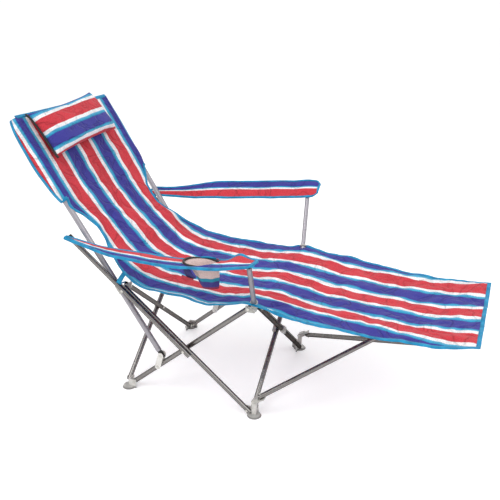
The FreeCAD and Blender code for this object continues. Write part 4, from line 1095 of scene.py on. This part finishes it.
class LOUNGER_OT_cup_holder(bpy.types.Operator):
    """Make the cup pocket and its bound rim"""

    bl_idname = "lounger.cup_holder"
    bl_label = "Cup holder"

    def execute(self, context):
        centre, radius = cup_ring()
        low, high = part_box("cup_pocket")
        turns = np.linspace(0, 2 * math.pi, 97)[:-1]
        ring = radius - CUP_INSET
        path = []
        for t in turns:
            out = Vector((math.cos(t), math.sin(t), 0))
            lift = 0.0012 * math.sin(3 * t) - 0.005 * max(0.0, math.sin(t))
            place = Vector((out.x, out.y * CUP_PINCH, 0)) * ring
            path.append((centre + place + AXIS_Z * lift, out, AXIS_Z))
        profile = [(CUP_WIRE * math.cos(a), CUP_WIRE * math.sin(a))
                   for a in np.linspace(0, 2 * math.pi, 11)[:-1]]
        rim = sweep("cup_rim_piping", path, profile, black_piping(), closed=True)
        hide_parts("cup_rim")
        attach(rim, "right_armrest_front")

        # the pocket's wall in levels from the rim down, then rings that close its sagging floor
        depth = high.z - low.z
        levels, floor_rings = 26, 6
        points, uvs = [], []
        for i in range(levels + 1):
            h = i / levels
            drift = CUP_TAPER * h ** 0.5
            width = ring - 0.001 - drift
            for t in turns:
                fold = 0.0022 * math.sin(h * math.pi) * math.cos(7 * t)
                r = width + fold + 0.002 * h * math.cos(4 * t + 1)
                points.append((centre.x + drift + r * math.cos(t),
                               centre.y + r * CUP_PINCH * math.sin(t), high.z + 0.0005 - depth * h))
                uvs.append((t * 0.05, h * 0.9))
        count = len(turns)
        base = len(points) - count
        for k in range(1, floor_rings + 1):
            share = 1 - k / floor_rings
            for j in range(count):
                edge = Vector(points[base + j])
                axis = Vector((centre.x + CUP_TAPER, centre.y, edge.z))
                rise = 0.002 - 0.003 * (1 - share * share)
                points.append(axis + (edge - axis) * max(share, 0.02) + AXIS_Z * rise)
                uvs.append((j * 0.002, 0.9 + 0.1 * k / floor_rings))
        faces = []
        for i in range(levels + floor_rings):
            for j in range(count):
                a, b = i * count + j, i * count + (j + 1) % count
                faces.append((a, b, b + count, a + count)[::-1])
        faces.append(tuple(range(len(points) - count, len(points))))
        pocket = new_piece("cup_pocket_cloth", points, faces, uvs, knitted_pocket_cloth())
        solid = pocket.modifiers.new("thickness", "SOLIDIFY")
        solid.thickness, solid.offset = 0.0012, 0.0
        bake_modifiers(pocket)
        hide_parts("cup_pocket")
        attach(pocket, "right_armrest_front")
        # the wall narrows downward to a floor of about 38 mm radius
        return {"FINISHED"}


class LOUNGER_OT_collars(bpy.types.Operator):
    """Make the collars where the arm posts pass through the sling"""

    bl_idname = "lounger.collars"
    bl_label = "Arm post collars"

    def execute(self, context):
        material = moulded_grey_nylon()
        sling = surface()
        row = sling.breaks["seat_front_panel"][1]
        for side, (foot, along) in zip((NEAR, FAR), arm_hole_axes()):
            foot, along = Vector(foot), Vector(along)
            edge = Vector(sling.points[row, 0 if side == NEAR else -1])
            centre = foot + along * ((edge.z + 0.003 - foot.z) / along.z)
            ahead = (Vector((1, 0, 0)) - along * along.x).normalized()
            wide = along.cross(ahead)
            path = []
            for t in np.linspace(0, 2 * math.pi, 49)[:-1]:
                out = ahead * math.cos(t) + wide * math.sin(t)
                path.append((centre + out * ARM_HOLE, out, along))
            profile = [(-0.0016, -0.003), (-0.0016, 0.002), (-0.0004, 0.0032), (0.0010, 0.0022),
                       (0.0022, 0.0004), (0.0022, -0.003)]
            collar = sweep(f"{SIDE_NAME[side]}_arm_post_collar", path, profile, material,
                           closed=True)
            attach(collar, f"front_{SIDE_NAME[side]}_hub")
        return {"FINISHED"}


def ribbon(points, wide):
    """Smooth path through points for a flat tape lying with its width along wide."""
    data = np.array(points)
    marks = run_lengths(data)
    at = np.linspace(0, marks[-1], max(8, int(marks[-1] / 0.003)))
    line = [Vector(p) for p in np.stack([spline(marks, data[:, i], at) for i in range(3)], 1)]
    path = []
    for i, point in enumerate(line):
        ahead = (line[min(i + 1, len(line) - 1)] - line[max(i - 1, 0)]).normalized()
        side = (wide - ahead * wide.dot(ahead)).normalized()
        path.append((point, side, side.cross(ahead).normalized()))
    return path


class LOUNGER_OT_ties(bpy.types.Operator):
    """Make the tapes that tie the sling to the rear hubs and the tabs under the cup's rim"""

    bl_idname = "lounger.ties"
    bl_label = "Ties"

    def execute(self, context):
        tape = woven_tape()
        flat = [(-0.008, 0.0004), (-0.0075, 0.0011), (0.0, 0.0014), (0.0075, 0.0011),
                (0.008, 0.0004), (0.0075, -0.0008), (0.0, -0.0010), (-0.0075, -0.0008)]
        for side in (NEAR, FAR):
            name = SIDE_NAME[side]
            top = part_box(f"rear_{name}_hub")[1].z
            line = [(-0.2020, 0.2600, 0.4330), (-0.2110, 0.2625, 0.4190), (-0.2210, 0.2615, 0.4020),
                    (-0.2270, 0.2550, 0.3890), (-0.2280, 0.2450, top + 0.004),
                    (-0.2280, 0.2330, top + 0.0016), (-0.2280, 0.2220, top + 0.0016)]
            # the left tie starts lower, under the seat's edge
            line = line if side == NEAR else line[2:]
            path = ribbon([Vector((x, side * y, z)) for x, y, z in line], Vector((1, 0, 0.4)))
            tie = sweep(f"{name}_hub_tie", path, flat, tape)
            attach(tie, f"rear_{name}_hub")
        tabs = (
            ("cup_tab_upper", 1.7, navy_tape(), [(0.068, -0.352, 0.532), (0.073, -0.354, 0.520),
                                                 (0.080, -0.353, 0.508), (0.086, -0.348, 0.498)]),
            ("cup_tab_lower", 0.8, red_tape(), [(0.052, -0.352, 0.500), (0.062, -0.355, 0.502),
                                                (0.074, -0.355, 0.500), (0.088, -0.349, 0.497)]))
        for label, wide, material, line in tabs:
            path = ribbon([Vector(p) for p in line], Vector((0.9, -0.2, 0.4)))
            tab = sweep(label, path, [(a * wide, b) for a, b in flat], material)
            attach(tab, "right_armrest_front")
        return {"FINISHED"}


class LOUNGER_OT_finishes(bpy.types.Operator):
    """Give every solid of the frame its finish"""

    bl_idname = "lounger.finishes"
    bl_label = "Finishes"

    def execute(self, context):
        finish = {
            "steel_tube": silver_powder_coat(), "steel_plate": pale_lacquered_steel(),
            "steel_rivet": zinc_plated_steel(), "grey_plastic": moulded_grey_nylon(),
            "foot_plastic": moulded_foot_nylon(), "black_plastic": moulded_black_vinyl(),
        }
        bright = powder_coat_painted_lighter()
        for part in frame["record"]["subparts"]:
            material = finish.get(part["material_slot"])
            # the posts get the paler copy of the leg coat: painted light, for the posts catch more
            # light than the legs
            if part["node"].endswith("_post"):
                material = bright
            node = frame["nodes"][part["node"]]
            if material is None:
                continue
            node.data.materials.clear()
            node.data.materials.append(material)
            node.data.polygons.foreach_set("material_index", [0] * len(node.data.polygons))
        return {"FINISHED"}


def seen_directly(tree):
    """Socket that is 1 for what the camera sees itself, in a reflection or through glass."""
    path = add_node(tree, "ShaderNodeLightPath")
    mirrored = add_node(tree, "ShaderNodeMath", {},
                        {0: path.outputs["Is Camera Ray"], 1: path.outputs["Is Glossy Ray"]},
                        operation="MAXIMUM")
    through = add_node(tree, "ShaderNodeMath", {},
                       {0: mirrored.outputs[0], 1: path.outputs["Is Transmission Ray"]},
                       operation="MAXIMUM")
    return through.outputs[0]


def floor_material(code):
    """Matt pale studio floor that shows white to the camera and still takes the shadow."""
    material, tree, shader = new_material("studio_floor")
    glow = add_node(tree, "ShaderNodeMath", {1: FLOOR_GLOW}, {0: seen_directly(tree)},
                    operation="MULTIPLY")
    set_inputs(tree, shader, {"Emission Color": (1, 1, 1, 1), "Base Color": linear(code),
                              "Roughness": 0.9}, {"Emission Strength": glow.outputs[0]})
    return material


def studio_world(scene):
    """White surround to the camera, and a light that is stronger overhead than at the sides."""
    world = bpy.data.worlds.new("studio")
    world.use_nodes = True
    tree = world.node_tree
    tree.nodes.clear()
    place = add_node(tree, "ShaderNodeTexCoord")
    height = add_node(tree, "ShaderNodeSeparateXYZ", links={0: place.outputs["Generated"]})
    # the light falls off towards the walls, so that round tubes show their shape
    sky = add_node(tree, "ShaderNodeMapRange",
                   {"From Min": 0.05, "From Max": 0.75, "To Min": 0.58, "To Max": 0.84},
                   {"Value": height.outputs[2]})
    seen = add_node(tree, "ShaderNodeMath", {}, {0: sky.outputs[0], 1: seen_directly(tree)},
                    operation="MAXIMUM")
    back = add_node(tree, "ShaderNodeBackground", {"Color": (1, 1, 1, 1)},
                    {"Strength": seen.outputs[0]})
    add_node(tree, "ShaderNodeOutputWorld", links={"Surface": back.outputs[0]})
    scene.world = world


class LOUNGER_OT_stage(bpy.types.Operator):
    """Set the floor, the soft studio light and the camera"""

    bl_idname = "lounger.stage"
    bl_label = "Stage"

    def execute(self, context):
        stage = settings().stage
        scene = context.scene
        scene.view_settings.view_transform = "Standard"
        bpy.ops.mesh.primitive_plane_add(size=FLOOR_SIZE, location=(0, 0, 0))
        floor = context.active_object
        floor.name = "floor"
        floor.data.materials.append(floor_material(stage.floor))
        studio_world(scene)
        for name, place, aim, size, power in (
                ("key_light", (-1.2, -2.6, 3.2), (0.1, 0, 0.4), 2.4, 55.0),
                ("fill_light", (2.8, -1.6, 2.2), (0.2, 0, 0.4), 2.2, 26.0),
                ("back_light", (0.4, 3.0, 2.6), (0, 0, 0.5), 2.4, 28.0)):
            lamp = bpy.data.lights.new(name, "AREA")
            lamp.shape, lamp.size, lamp.energy = "DISK", size, power
            item = bpy.data.objects.new(name, lamp)
            scene.collection.objects.link(item)
            item.location = place
            item.rotation_mode = "QUATERNION"
            item.rotation_quaternion = (Vector(aim) - Vector(place)).to_track_quat("-Z", "Y")
        camera = bpy.data.cameras.new("camera")
        camera.sensor_width, camera.lens = 36.0, stage.lens
        camera.shift_x, camera.shift_y = stage.shift
        item = bpy.data.objects.new("camera", camera)
        scene.collection.objects.link(item)
        ahead = Vector((math.cos(stage.pitch) * math.sin(stage.yaw),
                        math.cos(stage.pitch) * math.cos(stage.yaw), -math.sin(stage.pitch)))
        right = Vector((math.cos(stage.yaw), -math.sin(stage.yaw), 0))
        item.matrix_world = Matrix.Translation(Vector(stage.camera_place)) @ Matrix(
            (right, right.cross(ahead), -ahead)).transposed().to_4x4()
        scene.camera = item
        return {"FINISHED"}


class LOUNGER_PT_panel(bpy.types.Panel):
    """Lists the steps that dress the lounger"""

    bl_idname = "LOUNGER_PT_panel"
    bl_label = "Folding camp lounger"
    bl_space_type = "VIEW_3D"
    bl_region_type = "UI"
    bl_category = "Lounger"

    def draw(self, context):
        for step in STEPS:
            self.layout.operator(step.bl_idname)
        for group in ("cloth", "colours", "stage"):
            box = self.layout.box()
            box.label(text=group.title())
            values = getattr(context.scene.lounger, group)
            for name in values.bl_rna.properties.keys():
                if name not in ("rna_type", "name"):
                    box.prop(values, name)


STEPS = (LOUNGER_OT_stage, LOUNGER_OT_finishes, LOUNGER_OT_sling, LOUNGER_OT_sleeves,
         LOUNGER_OT_pillow, LOUNGER_OT_armrests, LOUNGER_OT_cup_holder, LOUNGER_OT_collars,
         LOUNGER_OT_ties)
GROUPS = (ClothSettings, ColourSettings, StageSettings, LoungerSettings)


def register():
    """Add the classes and the settings."""
    for kind in GROUPS + STEPS + (LOUNGER_PT_panel,):
        bpy.utils.register_class(kind)
    bpy.types.Scene.lounger = bpy.props.PointerProperty(type=LoungerSettings)


def unregister():
    """Take the settings and the classes out."""
    del bpy.types.Scene.lounger
    for kind in reversed(GROUPS + STEPS + (LOUNGER_PT_panel,)):
        bpy.utils.unregister_class(kind)


def main():
    """Dress the lounger step by step."""
    register()
    bpy.ops.lounger.stage()
    bpy.ops.lounger.finishes()
    bpy.ops.lounger.sling()
    bpy.ops.lounger.sleeves()
    bpy.ops.lounger.pillow()
    bpy.ops.lounger.armrests()
    bpy.ops.lounger.cup_holder()
    bpy.ops.lounger.collars()
    bpy.ops.lounger.ties()


if __name__ == "__main__":
    main()
